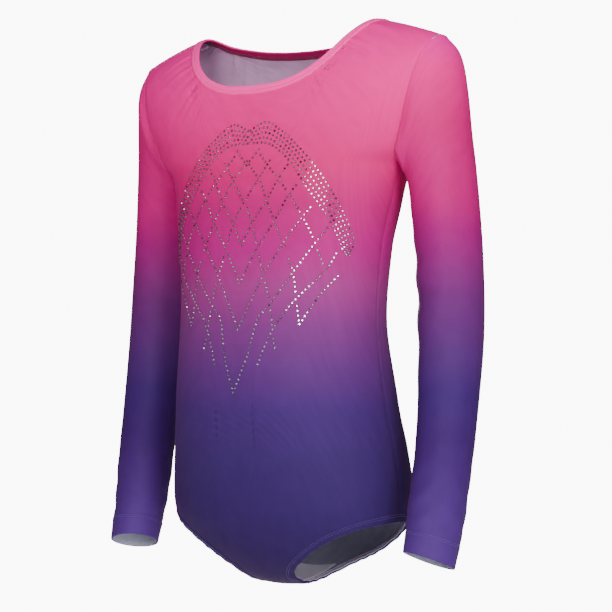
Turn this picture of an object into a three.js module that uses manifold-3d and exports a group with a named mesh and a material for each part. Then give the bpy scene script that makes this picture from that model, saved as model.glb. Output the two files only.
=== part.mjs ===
// A child's long-sleeved gymnastics leotard, held in the shape of its wearer. Millimetres, +Z up.
// The front faces -Y and the wearer's left is +X. The origin is midway between the high points of the
// shoulders, so every height below is a drop from there.
import * as THREE from "three";
import Module from "manifold-3d";

const wasm = await Module();
wasm.setup();

// Overall sizes
const bodyLength = 572; // shoulder to crotch
const sleeveLength = 520; // shoulder tip to cuff
const neckHalfWidth = 103;
const neckFrontDrop = 67;
const neckBackDrop = 16;
const shoulderTip = { x: 175, drop: 22 };
const underarm = { x: 133, drop: 150 };
const crotchHalfWidth = 30;
const legRise = 69; // from the crotch up to the top of the leg opening at the side seam

// Cloth and making-up
const cloth = 0.9; // thickness of the knit
const gap = 0.35; // left between pieces that are sewn to each other
const ease = 0.6; // room on each side of the cloth inside the folded neck binding
const hemGap = 1.3; // between a panel and the edge of its leg hem
const lay = 1.4; // room between the cloth and a seam or lining lying on it
const bindingWidth = 9;
const legHemWidth = 9;
const cuffHemWidth = 22;
const elastic = { width: 6, thickness: 1 };
const seam = { width: 5, thickness: 1.2, inset: 0.8 };
const lining = { halfWidth: 16, halfLength: 55 };
const stone = { width: 2, height: 1, lift: 1.1 }; // a row of stones on its backing
const elbow = 0.63; // how far down the sleeve it bends

// The body's cross-section at each level: half width, front, back and middle in Y.
// Levels down to the underarm are shares of the underarm's drop, and the rest are shares of bodyLength.
const chestLevels = [
  { at: -0.1335, width: 218, front: -76, back: 70, middle: 6 },
  { at: 0.145, width: 208, front: -76, back: 71, middle: 5 },
  { at: 0.4004, width: 190, front: -77, back: 72, middle: 4 },
  { at: 0.7322, width: 163, front: -78, back: 74, middle: -1 },
  { at: 0.9, width: 148, front: -81, back: 74, middle: -3.5 },
  { at: 1, width: underarm.x, front: -83, back: 73.5, middle: -5 },
];
const trunkLevels = [
  { at: 0.323, width: 124, front: -87.5, back: 71.5, middle: -9 },
  { at: 0.402, width: 116, front: -92, back: 63, middle: -15 },
  { at: 0.524, width: 111.5, front: -97, back: 61.5, middle: -16.5 },
  { at: 0.673, width: 116.5, front: -106, back: 83, middle: -8 },
  { at: 0.76, width: 123.5, front: -102, back: 94, middle: -2 },
  { at: 0.839, width: 128, front: -96, back: 98, middle: 0 },
  { at: 1.02, width: 129, front: -90, back: 92, middle: -10 },
];
const squareness = [[-1.1, 2.3], [-0.3, 2.3], [-0.17, 2.4], [0.1, 2.3]]; // superellipse power by level
const shoulderRound = 110; // the shoulders round over above this drop
const shoulderFall = 1.25; // above 1, the shoulder line falls faster towards its tip
const seatRound = 0.839; // the seat rounds under below this share of bodyLength
const crotchCurve = 0.0035;

// The sleeve's rings: outer and inner point in X and drop, middle in Y and half depth in Y
const sleeveRings = [
  { outer: [shoulderTip.x, 0], inner: [underarm.x, 0.246], y: 0, depth: 42 },
  { outer: [187, 0.031], inner: [136, 0.26], y: 4, depth: 44 },
  { outer: [193, 0.092], inner: [138, 0.279], y: 8, depth: 41 },
  { outer: [197, 0.179], inner: [139, 0.304], y: 11, depth: 38 },
  { outer: [202, 0.265], inner: [139, 0.337], y: 13, depth: 36 },
  { outer: [209, 0.419], inner: [143, 0.433], y: 14, depth: 34 },
  { outer: [212, 0.563], inner: [147, 0.563], y: 10, depth: 33 },
  { outer: [212, 0.727], inner: [153, 0.727], y: -2, depth: 30 },
  { outer: [209, 0.881], inner: [153, 0.877], y: -18, depth: 28.5 },
  { outer: [204, 0.996], inner: [155, 0.979], y: -34, depth: 26 },
];
const cuffTilt = 0.34; // the back of the cuff hangs lower than the front
const armholeReach = 0.25; // share of the sleeve that eases from the armhole's outline to round

// Where the seam allowances and their neighbours stop short of each other
const seamClear = 3; // from a seam's end to the next seam or to the neck binding
const sideSeamIntoHem = 4; // from the end of a side seam to the leg hem
const sleeveSeamStart = 0.1; // share of the sleeve above its own seam
const sleeveSeamEnd = 4; // from a sleeve seam's ends to the elbow and to the cuff hem

// How finely each piece is cut
const neckCuts = 9;
const shoulderCuts = 3;
const armholeCuts = 7;
const crotchCuts = 3;
const bodyRows = 24;
const legCuts = 13;
const roundCuts = 20;
const upperRows = 13;
const forearmRows = 9;
const shoulderSeamCuts = 6;
const sideSeamCuts = 18;
const crotchSeamCuts = 6;
const liningCuts = 10;
const sleeveSeamCuts = 8;
const bandCuts = 20;
const columnEase = 2.5; // above 1, the columns spread to their lower ends early
const slopeStep = 0.02; // for slopes of the body's surface
const turnStep = 0.004; // for slopes along and round the sleeve
const landingSteps = 8; // for bringing a point onto the surface

const knit = (name, colour, roughness = 0.6) => ({ name, colour, roughness, metalness: 0 });
const pinkKnit = knit("pink knit", 0xe0609b);
const bindingKnit = knit("light pink knit", 0xf08fbb);
const sleeveKnit = knit("magenta knit", 0xa8508f);
const violetKnit = knit("violet knit", 0x4f3f8c);
const thread = knit("overlock thread", 0xd98ab5, 0.8);
const violetThread = knit("violet overlock thread", 0x57479a, 0.8);
const rubberTape = knit("elastic tape", 0xe8e6ea, 0.8);
const liningKnit = knit("lining knit", 0xd9d2dc, 0.8);
const stoneSilver = { name: "silver stones", colour: 0xc9ccd2, roughness: 0.2, metalness: 0.7 };

// Curves

// A smooth curve through [x, y] points that never overshoots them.
function through(points) {
  const sorted = [...points].sort((a, b) => a[0] - b[0]);
  const x = sorted.map((p) => p[0]);
  const y = sorted.map((p) => p[1]);
  const step = x.slice(1).map((v, i) => v - x[i]);
  const rise = step.map((h, i) => (y[i + 1] - y[i]) / h);
  const slope = x.map((_, i) => {
    if (i === 0) return rise[0];
    if (i === x.length - 1) return rise[i - 1];
    if (rise[i - 1] * rise[i] <= 0) return 0;
    const before = 2 * step[i] + step[i - 1];
    const after = step[i] + 2 * step[i - 1];
    return (before + after) / (before / rise[i - 1] + after / rise[i]);
  });
  return (at) => {
    const v = Math.min(Math.max(at, x[0]), x[x.length - 1]);
    let i = 0;
    while (i < step.length - 1 && v > x[i + 1]) i += 1;
    const t = (v - x[i]) / step[i];
    const start = (1 + 2 * t) * (1 - t) ** 2 * y[i] + t * (1 - t) ** 2 * step[i] * slope[i];
    const end = t * t * (3 - 2 * t) * y[i + 1] + t * t * (t - 1) * step[i] * slope[i + 1];
    return start + end;
  };
}

const outline = (points) => new THREE.SplineCurve(points.map(([x, z]) => new THREE.Vector2(x, z)));
const smoothstep = (t) => THREE.MathUtils.smoothstep(t, 0, 1);
const easeBoth = (t) => (1 - Math.cos(Math.PI * t)) / 2;
const easeEnd = (t) => Math.sin((Math.PI / 2) * t);

// How far down a panel each row lies: close together where the shoulder and the seat round over.
const shoulderRows = { rows: 0.38, share: 0.24 };
const seatRows = { rows: 0.26, share: 0.16 };
function rowShare(t) {
  const opening = (at) => 1 - Math.cos((Math.PI / 2) * at);
  if (t < shoulderRows.rows) return shoulderRows.share * opening(t / shoulderRows.rows);
  const fromEnd = 1 - t;
  if (fromEnd < seatRows.rows) return 1 - seatRows.share * opening(fromEnd / seatRows.rows);
  const middle = (t - shoulderRows.rows) / (1 - seatRows.rows - shoulderRows.rows);
  return shoulderRows.share + (1 - seatRows.share - shoulderRows.share) * middle;
}

const steps = (count) => Array.from({ length: count + 1 }, (_, i) => i / count);

// The body's surface

function levelCurve(key) {
  const chest = chestLevels.map((l) => [-l.at * underarm.drop, l[key]]);
  const trunk = trunkLevels.map((l) => [-l.at * bodyLength, l[key]]);
  return through([...chest, ...trunk]);
}

const halfWidth = levelCurve("width");
const frontY = levelCurve("front");
const backY = levelCurve("back");
const middleY = levelCurve("middle");
const power = through(squareness.map(([at, n]) => [at * bodyLength, n]));

function shoulderLine(x) {
  const t = Math.max(0, Math.abs(x) - neckHalfWidth) / (shoulderTip.x - neckHalfWidth);
  return -shoulderTip.drop * t ** shoulderFall;
}

const crotchLine = (x) => -bodyLength + crotchCurve * x * x;

// Squared half depth at a point, as a share of the full depth; it falls to nothing at every edge.
function depthSquared(x, z) {
  const n = power(z);
  const across = 1 - (Math.abs(x) / halfWidth(z)) ** n;
  let share = Math.sign(across) * Math.abs(across) ** (2 / n);
  if (z > -shoulderRound) share *= 1 - ((z + shoulderRound) / (shoulderLine(x) + shoulderRound)) ** 2;
  const seat = -seatRound * bodyLength;
  if (z < seat) share *= 1 - ((seat - z) / (seat - crotchLine(x))) ** 2;
  return share;
}

const FRONT = -1;
const BACK = 1;
const reach = (side, z) => (side === FRONT ? frontY(z) : backY(z)) - middleY(z);

function bodyPoint(side, x, z) {
  const y = middleY(z) + reach(side, z) * Math.sqrt(Math.max(0, depthSquared(x, z)));
  return new THREE.Vector3(x, y, z);
}

// Negative inside the body, zero on its surface.
function bodyField(p) {
  const side = p.y < middleY(p.z) ? FRONT : BACK;
  return ((p.y - middleY(p.z)) / reach(side, p.z)) ** 2 - depthSquared(p.x, p.z);
}

function bodyGradient(p) {
  const h = slopeStep;
  const slope = (axis) => {
    const a = p.clone();
    const b = p.clone();
    a[axis] += h;
    b[axis] -= h;
    return (bodyField(a) - bodyField(b)) / (2 * h);
  };
  return new THREE.Vector3(slope("x"), slope("y"), slope("z"));
}

const bodyNormal = (p) => bodyGradient(p).normalize();

function ontoBody(p) {
  const q = p.clone();
  for (let i = 0; i < landingSteps; i += 1) {
    const g = bodyGradient(q);
    q.addScaledVector(g, -bodyField(q) / g.lengthSq());
  }
  return q;
}

// Garment outlines, seen from the front and drawn on the wearer's left

const neckOutline = {
  [FRONT]: outline([
    [0, -neckFrontDrop],
    [30, -neckFrontDrop + 2],
    [56, -56],
    [76, -40],
    [90, -20],
    [neckHalfWidth, 0],
  ]),
  [BACK]: outline([
    [0, -neckBackDrop],
    [30, -neckBackDrop + 1],
    [60, -12],
    [90, -6],
    [neckHalfWidth, 0],
  ]),
};
const armholeOutline = outline([
  [shoulderTip.x, -shoulderTip.drop],
  [170, -38],
  [164, -60],
  [155, -95],
  [145, -125],
  [138, -underarm.drop + 9],
  [underarm.x, -underarm.drop],
]);
const legEdge = (x) => [x, crotchLine(x)];
const aboveCrotch = (x, rise) => [x, rise - bodyLength];
const legSideDrop = bodyLength - legRise;
const legOutline = {
  [FRONT]: outline([
    legEdge(crotchHalfWidth),
    aboveCrotch(33, 14),
    aboveCrotch(45, 26),
    aboveCrotch(75, 47),
    aboveCrotch(105, 62),
    aboveCrotch(129, legRise),
  ]),
  [BACK]: outline([
    legEdge(crotchHalfWidth),
    aboveCrotch(36, 9),
    aboveCrotch(52, 19),
    aboveCrotch(82, 33),
    aboveCrotch(110, 52),
    aboveCrotch(129, legRise),
  ]),
};

// A closed edge on the body: front half, then the back half reversed. The end points sit on a seam line.
function edgeLoop(front, back, spacing, cuts) {
  const at = (curve, side, t) => {
    const p = curve.getPointAt(spacing(t));
    return bodyPoint(side, p.x, p.y);
  };
  const forward = steps(cuts).map((t) => at(front, FRONT, t));
  const backward = steps(cuts).map((t) => at(back, BACK, t)).reverse();
  return { forward, backward };
}

const mirrored = (p) => new THREE.Vector3(-p.x, p.y, p.z);

// For each point of a closed edge, a function that walks `inward` into the cloth and `out` along its normal.
function edgeWalkers(loop) {
  const centre = loop.reduce((sum, p) => sum.add(p), new THREE.Vector3()).divideScalar(loop.length);
  return loop.map((p, i) => {
    const next = loop[(i + 1) % loop.length];
    const last = loop[(i + loop.length - 1) % loop.length];
    const into = bodyNormal(p).cross(next.clone().sub(last)).normalize();
    if (into.dot(p.clone().sub(centre)) < 0) into.negate();
    return bodyWalker(p, into);
  });
}

function bodyWalker(p, into) {
  return (inward, out = 0) => {
    const q = ontoBody(p.clone().addScaledVector(into, inward));
    return out === 0 ? q : q.addScaledVector(bodyNormal(q), out);
  };
}

const neckHalf = edgeLoop(neckOutline[FRONT], neckOutline[BACK], easeEnd, neckCuts);
const neckLoop = [
  ...neckHalf.forward,
  ...neckHalf.backward.slice(1),
  ...[...neckHalf.backward.slice(1, -1)].reverse().map(mirrored),
  ...[...neckHalf.forward.slice(1)].reverse().map(mirrored),
];
const neckWalk = edgeWalkers(neckLoop);

const armholeHalf = edgeLoop(armholeOutline, armholeOutline, easeBoth, armholeCuts);
const armholeLoop = [...armholeHalf.forward, ...armholeHalf.backward.slice(1, -1)];
const armholeWalk = edgeWalkers(armholeLoop);

const legHalf = edgeLoop(legOutline[FRONT], legOutline[BACK], easeBoth, legCuts);
const legLoop = [...legHalf.forward, ...legHalf.backward.slice(1, -1)];
const legWalk = edgeWalkers(legLoop);

// Solids

const root = new THREE.Group();
root.name = "gymnastics_leotard";

function addMesh(name, geometry, look) {
  const material = new THREE.MeshStandardMaterial({
    name: look.name,
    color: look.colour,
    roughness: look.roughness,
    metalness: look.metalness,
  });
  const mesh = new THREE.Mesh(geometry, material);
  mesh.name = name;
  root.add(mesh);
  return mesh;
}

function geometryOf(points, triangles) {
  const geometry = new THREE.BufferGeometry();
  geometry.setAttribute("position", new THREE.Float32BufferAttribute(points.flatMap((p) => p.toArray()), 3));
  geometry.setIndex(triangles);
  if (signedVolume(points, triangles) < 0) {
    for (let i = 0; i < triangles.length; i += 3) {
      [triangles[i + 1], triangles[i + 2]] = [triangles[i + 2], triangles[i + 1]];
    }
    geometry.setIndex(triangles);
  }
  geometry.computeVertexNormals();
  return geometry;
}

function signedVolume(points, triangles) {
  let total = 0;
  for (let i = 0; i < triangles.length; i += 3) {
    const [a, b, c] = triangles.slice(i, i + 3).map((k) => points[k]);
    total += a.dot(b.clone().cross(c));
  }
  return total;
}

// A closed body swept through stations, each the same ring of points. Open sweeps get flat ends.
function sweep(stations, closed) {
  const ring = stations[0].length;
  const points = stations.flat();
  const triangles = [];
  const spans = closed ? stations.length : stations.length - 1;
  for (let i = 0; i < spans; i += 1) {
    const here = i * ring;
    const there = ((i + 1) % stations.length) * ring;
    for (let k = 0; k < ring; k += 1) {
      const next = (k + 1) % ring;
      addQuad(points, [here + k, there + k, there + next, here + next], triangles);
    }
  }
  if (!closed) {
    const last = (stations.length - 1) * ring;
    stripCap(ring, 0, false, triangles);
    stripCap(ring, last, true, triangles);
  }
  return geometryOf(points, triangles);
}

// Cuts a quad along its shorter diagonal, so that a mirrored piece is cut the mirrored way.
function addQuad(points, [a, b, c, d], triangles) {
  const long = points[a].distanceToSquared(points[c]) > points[b].distanceToSquared(points[d]);
  if (long) triangles.push(a, b, d, b, c, d);
  else triangles.push(a, b, c, a, c, d);
}

// Fills a ring that runs out along one face and back along the other.
function stripCap(ring, base, flip, triangles) {
  for (let k = 0; k < ring / 2 - 1; k += 1) {
    const quad = [k, k + 1, ring - 2 - k, ring - 1 - k].map((v) => base + v);
    const [a, b, c, d] = flip ? [...quad].reverse() : quad;
    triangles.push(a, b, c, a, c, d);
  }
}

// The two faces of the cloth at one point.
const face = (p, normal, thickness = cloth) => ({
  outer: p,
  inner: p.clone().addScaledVector(normal, -thickness),
});

// Out along one face and back along the other.
const bothFaces = (line) => [...line.map((f) => f.outer), ...line.map((f) => f.inner).reverse()];

// The section of a folded edge, walked as [inward, out] pairs: cloth, fold, and cloth again.
const foldSection = (width, top, inside) => [
  [width, top],
  [0, top],
  [0, top - 2 * cloth - inside],
  [width, top - 2 * cloth - inside],
  [width, top - cloth - inside],
  [cloth, top - cloth - inside],
  [cloth, top - cloth],
  [width, top - cloth],
];
const flatSection = (from, width, top, thickness) => [
  [from, top],
  [from + width, top],
  [from + width, top - thickness],
  [from, top - thickness],
];
const sections = (walkers, section) => walkers.map((walk) => section.map(([i, o]) => walk(i, o)));
const alongLoop = (walkers, section) => sweep(sections(walkers, section), true);
const alongLine = (walkers, section) => sweep(sections(walkers, section), false);

function addPair(name, geometry, look) {
  addMesh(`left_${name}`, geometry, look);
  const other = geometry.clone().scale(-1, 1, 1);
  const index = other.index.array;
  for (let i = 0; i < index.length; i += 3) {
    [index[i + 1], index[i + 2]] = [index[i + 2], index[i + 1]];
  }
  other.computeVertexNormals();
  addMesh(`right_${name}`, other, look);
}

// Front and back panels

const seamHalf = gap / 2;

// The angle round the body at which the surface is x from the middle.
const angleOf = (x, z) => Math.asin(Math.min(1, (x / halfWidth(z)) ** (power(z) / 2)));
const widthAt = (angle, z) => halfWidth(z) * Math.sin(angle) ** (2 / power(z));

// The edge of a panel along a seam line keeps half a gap from it.
function seamPoint(side, x, level, lineZ) {
  const share = seamHalf / Math.abs(reach(side, lineZ));
  const full = depthSquared(x, level);
  const z = level + (lineZ - level) * Math.sqrt(1 - share ** 2 / full);
  return [x, z];
}

function sidePoint(side, z) {
  const share = seamHalf / Math.abs(reach(side, z));
  const x = halfWidth(z) * (1 - share ** power(z)) ** (1 / power(z));
  return [x, z];
}

const edgeOf = (p) => [p.x, p.z];

function panelTop(side) {
  const frontWalkers = neckWalk.slice(0, neckCuts);
  const backWalkers = neckWalk.slice(neckCuts + 1, 2 * neckCuts + 1).reverse();
  const walkers = side === FRONT ? frontWalkers : backWalkers;
  const neck = walkers.map((walk) => edgeOf(walk(cloth + gap)));
  const from = neckHalfWidth + cloth + gap;
  const to = shoulderTip.x - seamHalf;
  const shoulder = steps(shoulderCuts).map((t) => {
    const x = from + (to - from) * t;
    return seamPoint(side, x, -shoulderRound, shoulderLine(x));
  });
  const count = armholeLoop.length;
  const armhole = steps(armholeCuts).slice(1, -1).map((t) => {
    const i = Math.round(t * armholeCuts);
    return edgeOf(armholeWalk[side === FRONT ? i : (count - i) % count](seamHalf));
  });
  return [...neck, ...shoulder, ...armhole, sidePoint(side, -underarm.drop - seamHalf)];
}

function panelBottom(side, columns) {
  const inset = legHemWidth + hemGap;
  const count = legLoop.length;
  const legAt = (t) => {
    const k = t * legCuts;
    const low = Math.min(Math.floor(k), legCuts - 1);
    const pick = (i) => edgeOf(legWalk[side === FRONT ? i : (count - i) % count](inset));
    const [a, b] = [pick(low), pick(low + 1)];
    return [a[0] + (b[0] - a[0]) * (k - low), a[1] + (b[1] - a[1]) * (k - low)];
  };
  const first = legAt(1 / legCuts);
  const crotchTo = legWalk[0](inset).x;
  const seat = -seatRound * bodyLength;
  const crotch = steps(crotchCuts).map((t) => {
    const x = crotchTo * t;
    return seamPoint(side, x, seat, crotchLine(x));
  });
  const rest = columns - crotchCuts - 2;
  const leg = steps(rest).slice(0, -1).map((t) => {
    return t === 0 ? first : legAt((1 + t * (legCuts - 1)) / legCuts);
  });
  const top = legWalk[legCuts](inset).z;
  return [...crotch, ...leg, sidePoint(side, top)];
}

function panel(side) {
  const top = panelTop(side);
  const bottom = panelBottom(side, top.length);
  const half = top.map(([x0, z0], i) => {
    const [x1, z1] = bottom[i];
    const from = angleOf(x0, z0);
    const to = angleOf(x1, z1);
    return steps(bodyRows).map((t) => {
      const z = z0 + (z1 - z0) * rowShare(t);
      if (i === top.length - 1) return sidePoint(side, z);
      if (t === 0) return [x0, z0];
      if (t === 1) return [x1, z1];
      return [widthAt(from + (to - from) * (1 - (1 - rowShare(t)) ** columnEase), z), z];
    });
  });
  const across = [...half.slice(1).reverse().map((c) => c.map(([x, z]) => [-x, z])), ...half];
  const columns = across.map((column) =>
    column.map(([x, z]) => {
      const p = bodyPoint(side, x, z);
      return face(p, bodyNormal(p));
    }),
  );
  return sweep(columns.map(bothFaces), false);
}

addMesh("front_body", panel(FRONT), pinkKnit);
addMesh("back_body", panel(BACK), pinkKnit);

// Binding folded over the neck edge
const bindingSection = foldSection(bindingWidth, cloth + ease, cloth + 2 * ease);
addMesh("neck_binding", alongLoop(neckWalk, bindingSection), bindingKnit);

// Hems turned over elastic round the legs
const legPocket = elastic.thickness + 2 * gap;
addPair("leg_hem", alongLoop(legWalk, foldSection(legHemWidth, 0, legPocket)), violetKnit);
const elasticSection = flatSection(cloth + gap, elastic.width, -cloth - gap, elastic.thickness);
addPair("leg_elastic", alongLoop(legWalk, elasticSection), rubberTape);

// Seam allowances lying on the inside
const seamSection = flatSection(seam.inset, seam.width, -cloth - lay, seam.thickness);
const towardsBack = new THREE.Vector3(0, 1, 0);
const clearOfBinding = bindingWidth + seamClear;
const clearOfSeam = seam.inset + seam.width + seamClear;

const shoulderSeam = steps(shoulderSeamCuts).map((t) => {
  const from = neckHalfWidth + clearOfBinding;
  const to = shoulderTip.x - clearOfSeam;
  const x = from + (to - from) * t;
  const z = shoulderLine(x);
  return bodyWalker(new THREE.Vector3(x, middleY(z), z), towardsBack);
});
addPair("shoulder_seam", alongLine(shoulderSeam, seamSection), thread);

const sideSeam = steps(sideSeamCuts).map((t) => {
  const from = -underarm.drop - clearOfSeam;
  const to = -legSideDrop + legHemWidth + sideSeamIntoHem;
  const z = from + (to - from) * t;
  return bodyWalker(new THREE.Vector3(halfWidth(z), middleY(z), z), towardsBack);
});
addPair("side_seam", alongLine(sideSeam, seamSection), thread);
addPair("armhole_seam", alongLoop(armholeWalk, seamSection), thread);

const crotchSeam = steps(crotchSeamCuts).map((t) => {
  const x = -lining.halfWidth + 2 * lining.halfWidth * t;
  const z = crotchLine(x);
  return bodyWalker(new THREE.Vector3(x, middleY(z), z), towardsBack);
});
addMesh("crotch_seam", alongLine(crotchSeam, seamSection), violetThread);

const liningDepth = cloth + 2 * lay + seam.thickness;
const liningRows = steps(crotchSeamCuts).map((t) => {
  const x = -lining.halfWidth + 2 * lining.halfWidth * t;
  const z = crotchLine(x);
  const walk = bodyWalker(new THREE.Vector3(x, middleY(z), z), towardsBack);
  const along = steps(liningCuts).map((s) => lining.halfLength * (2 * s - 1));
  const upper = along.map((d) => walk(d, -liningDepth));
  const lower = along.map((d) => walk(d, -liningDepth - cloth));
  return [...upper, ...lower.reverse()];
});
addMesh("crotch_lining", sweep(liningRows, false), liningKnit);

// Sleeves

// Catmull-Rom between the rings, so the sleeve is smooth from armhole to cuff.
function ringAt(u) {
  const flat = sleeveRings.map((r) => [...r.outer, ...r.inner, r.y, r.depth]);
  const last = flat.length - 1;
  const v = Math.min(Math.max(u, 0), 1) * last;
  const i = Math.min(Math.floor(v), last - 1);
  const t = v - i;
  const extend = (a, b) => a.map((n, k) => 2 * n - b[k]);
  const p1 = flat[i];
  const p2 = flat[i + 1];
  const p0 = i > 0 ? flat[i - 1] : extend(p1, p2);
  const p3 = i + 2 <= last ? flat[i + 2] : extend(p2, p1);
  const [ox, od, ix, id, y, depth] = p1.map((_, k) => {
    const a = 2 * p1[k];
    const b = p2[k] - p0[k];
    const c = 2 * p0[k] - 5 * p1[k] + 4 * p2[k] - p3[k];
    const d = 3 * p1[k] - p0[k] - 3 * p2[k] + p3[k];
    return (a + b * t + c * t ** 2 + d * t ** 3) / 2;
  });
  const drop = (share) => -shoulderTip.drop - share * sleeveLength;
  return { ox, oz: drop(od), ix, iz: drop(id), y, depth };
}

function ringPoint(u, angle) {
  const r = ringAt(u);
  const c = Math.cos(angle);
  const side = -r.depth * Math.sin(angle);
  const tilt = cuffTilt * smoothstep((u - elbow) / (1 - elbow));
  return new THREE.Vector3(
    (r.ox + r.ix) / 2 + ((r.ox - r.ix) / 2) * c,
    r.y + side,
    (r.oz + r.iz) / 2 + ((r.oz - r.iz) / 2) * c - tilt * side,
  );
}

function armholePoint(angle) {
  const turn = ((angle % (2 * Math.PI)) + 2 * Math.PI) % (2 * Math.PI);
  const side = turn <= Math.PI ? FRONT : BACK;
  const p = armholeOutline.getPointAt((1 - Math.cos(turn)) / 2);
  return bodyPoint(side, p.x, p.y);
}

function sleevePoint(u, angle) {
  const follow = 1 - smoothstep(u / armholeReach);
  const p = ringPoint(u, angle);
  if (follow === 0) return p;
  return p.add(armholePoint(angle).sub(ringPoint(0, angle)).multiplyScalar(follow));
}

function sleeveWalker(u, angle) {
  const p = sleevePoint(u, angle);
  const h = turnStep;
  const along = sleevePoint(Math.min(1, u + h), angle).sub(sleevePoint(Math.max(0, u - h), angle));
  const round = sleevePoint(u, angle + h).sub(sleevePoint(u, angle - h));
  const normal = along.cross(round).normalize();
  const centre = ringPoint(u, 0).add(ringPoint(u, Math.PI)).divideScalar(2);
  if (normal.dot(p.clone().sub(centre)) < 0) normal.negate();
  return { p, normal };
}

const sleeveAngles = steps(roundCuts).slice(0, -1).map((t) => 2 * Math.PI * t);
const centreOf = (u) => ringPoint(u, 0).add(ringPoint(u, Math.PI)).divideScalar(2);
const lastShare = 0.02; // the stretch by the cuff over which the sleeve's share per millimetre is taken
const uPerMm = lastShare / centreOf(1).distanceTo(centreOf(1 - lastShare));

// Pulls the first ring off the armhole so that sleeve and body keep their gap.
const firstRing = 0.002;
const pullTowards = 0.02;
function startRing(angle) {
  const { p, normal } = sleeveWalker(firstRing, angle);
  const clear = sleevePoint(pullTowards, angle).sub(p).normalize().multiplyScalar(gap);
  return face(p.add(clear), normal);
}

function sleeveTube(fromU, toU, rows) {
  const lines = sleeveAngles.map((angle) =>
    steps(rows).map((t) => {
      const u = fromU + (toU - fromU) * t;
      if (u === 0) return startRing(angle);
      const { p, normal } = sleeveWalker(u, angle);
      return face(p, normal);
    }),
  );
  return sweep(lines.map(bothFaces), true);
}

const elbowGap = 1.5 * gap * uPerMm;
const hemU = 1 - cuffHemWidth * uPerMm;
const elbowTop = elbow - elbowGap / 2;
const elbowFoot = elbow + elbowGap / 2;
addPair("upper_sleeve", sleeveTube(0, elbowTop, upperRows), sleeveKnit);
addPair("forearm_sleeve", sleeveTube(elbowFoot, hemU - gap * uPerMm, forearmRows), violetKnit);

const cuffWalk = sleeveAngles.map((angle) => (inward, out) => {
  const { p, normal } = sleeveWalker(1 - inward * uPerMm, angle);
  return p.addScaledVector(normal, out);
});
addPair("cuff_hem", alongLoop(cuffWalk, foldSection(cuffHemWidth, 0, gap)), violetKnit);

// The sleeve's own seam runs down the underarm line, inside.
function sleeveSeam(fromU, toU) {
  const walkers = steps(sleeveSeamCuts).map((t) => {
    const u = fromU + (toU - fromU) * t;
    return (inward, out) => {
      const turn = inward / ringAt(u).depth;
      const { p, normal } = sleeveWalker(u, Math.PI + turn);
      return p.addScaledVector(normal, out);
    };
  });
  return alongLine(walkers, seamSection);
}

const seamEnd = sleeveSeamEnd * uPerMm;
addPair("upper_sleeve_seam", sleeveSeam(sleeveSeamStart, elbow - seamEnd), thread);
addPair("forearm_sleeve_seam", sleeveSeam(elbow + seamEnd, hemU - seamEnd), violetThread);

// Rows of stones on the chest: lines on the wearer's left, mirrored to the right

const rising = [
  [[0, -148], [13, -133]],
  [[0, -186], [14, -164], [27, -145]],
  [[0, -228], [11, -207], [25, -186], [38, -163], [47, -150]],
  [[0, -266], [17, -234], [36, -205], [49, -181], [57, -171]],
  [[0, -312], [27, -259], [48, -225], [65, -202], [72, -193]],
  [[0, -374], [14, -337], [22, -303], [35, -287], [57, -257], [79, -225], [87, -213]],
  [[26, -346], [39, -313], [57, -287], [84, -257], [94, -238]],
  [[65, -307], [80, -281], [95, -260]],
];
const falling = [
  [[0, -183], [12, -210], [20, -236], [28, -261], [35, -287], [40, -317], [43, -330]],
  [[0, -144], [17, -165], [26, -184], [39, -211], [48, -231]],
  [[13, -135], [28, -153], [40, -166], [54, -185], [63, -199], [73, -218], [82, -243], [86, -257]],
  [[53, -243], [58, -259], [62, -289], [65, -308]],
];
const rowStep = 18;
const latticeTolerance = 0.03;

function stoneRow(points) {
  const curve = outline(points);
  const cuts = Math.max(2, Math.round(curve.getLength() / rowStep));
  const spaced = curve.getSpacedPoints(cuts).map((p) => bodyPoint(FRONT, p.x, p.y));
  const stations = spaced.map((p, i) => {
    const next = spaced[Math.min(i + 1, cuts)];
    const last = spaced[Math.max(i - 1, 0)];
    const normal = bodyNormal(p);
    const side = normal.clone().cross(next.clone().sub(last)).normalize();
    const at = (across, out) => p.clone().addScaledVector(side, across).addScaledVector(normal, out);
    const half = stone.width / 2;
    const top = stone.lift + stone.height;
    return [at(-half, top), at(half, top), at(half, stone.lift), at(-half, stone.lift)];
  });
  return sweep(stations, false);
}

function toSolid(geometry) {
  const mesh = new wasm.Mesh({
    numProp: 3,
    vertProperties: new Float32Array(geometry.attributes.position.array),
    triVerts: new Uint32Array(geometry.index.array),
  });
  return new wasm.Manifold(mesh);
}

function fromSolid(solid) {
  const mesh = solid.getMesh();
  const geometry = new THREE.BufferGeometry();
  geometry.setAttribute("position", new THREE.Float32BufferAttribute(mesh.vertProperties, 3));
  geometry.setIndex(Array.from(mesh.triVerts));
  geometry.computeVertexNormals();
  return geometry;
}

const rows = [...rising, ...falling].map(stoneRow).map(toSolid);
const lattice = wasm.Manifold.union([...rows, ...rows.map((r) => r.mirror([1, 0, 0]))]);
addMesh("stone_lattice", fromSolid(lattice.simplify(latticeTolerance)), stoneSilver);

// The thick rows along the top of the motif
const bandOuter = outline([
  [1.5, -113],
  [20, -106],
  [40, -117],
  [59, -134],
  [76, -154],
  [90, -177],
  [100, -200],
  [106, -225],
  [103, -240],
]);
const bandInner = outline([
  [1.5, -126],
  [22, -127],
  [38, -136],
  [52, -150],
  [64, -168],
  [77, -186],
  [88, -204],
  [96, -224],
  [99, -238],
]);
const bandStations = steps(bandCuts).map((t) => {
  const outer = bandOuter.getPointAt(t);
  const inner = bandInner.getPointAt(t);
  const across = steps(2).map((s) => {
    const at = outer.clone().lerp(inner, s);
    const p = bodyPoint(FRONT, at.x, at.y);
    return [p, bodyNormal(p)];
  });
  const lifted = (out) => across.map(([p, normal]) => p.clone().addScaledVector(normal, out));
  return [...lifted(stone.lift + stone.height), ...lifted(stone.lift).reverse()];
});
addPair("stone_band", sweep(bandStations, false), stoneSilver);

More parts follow.
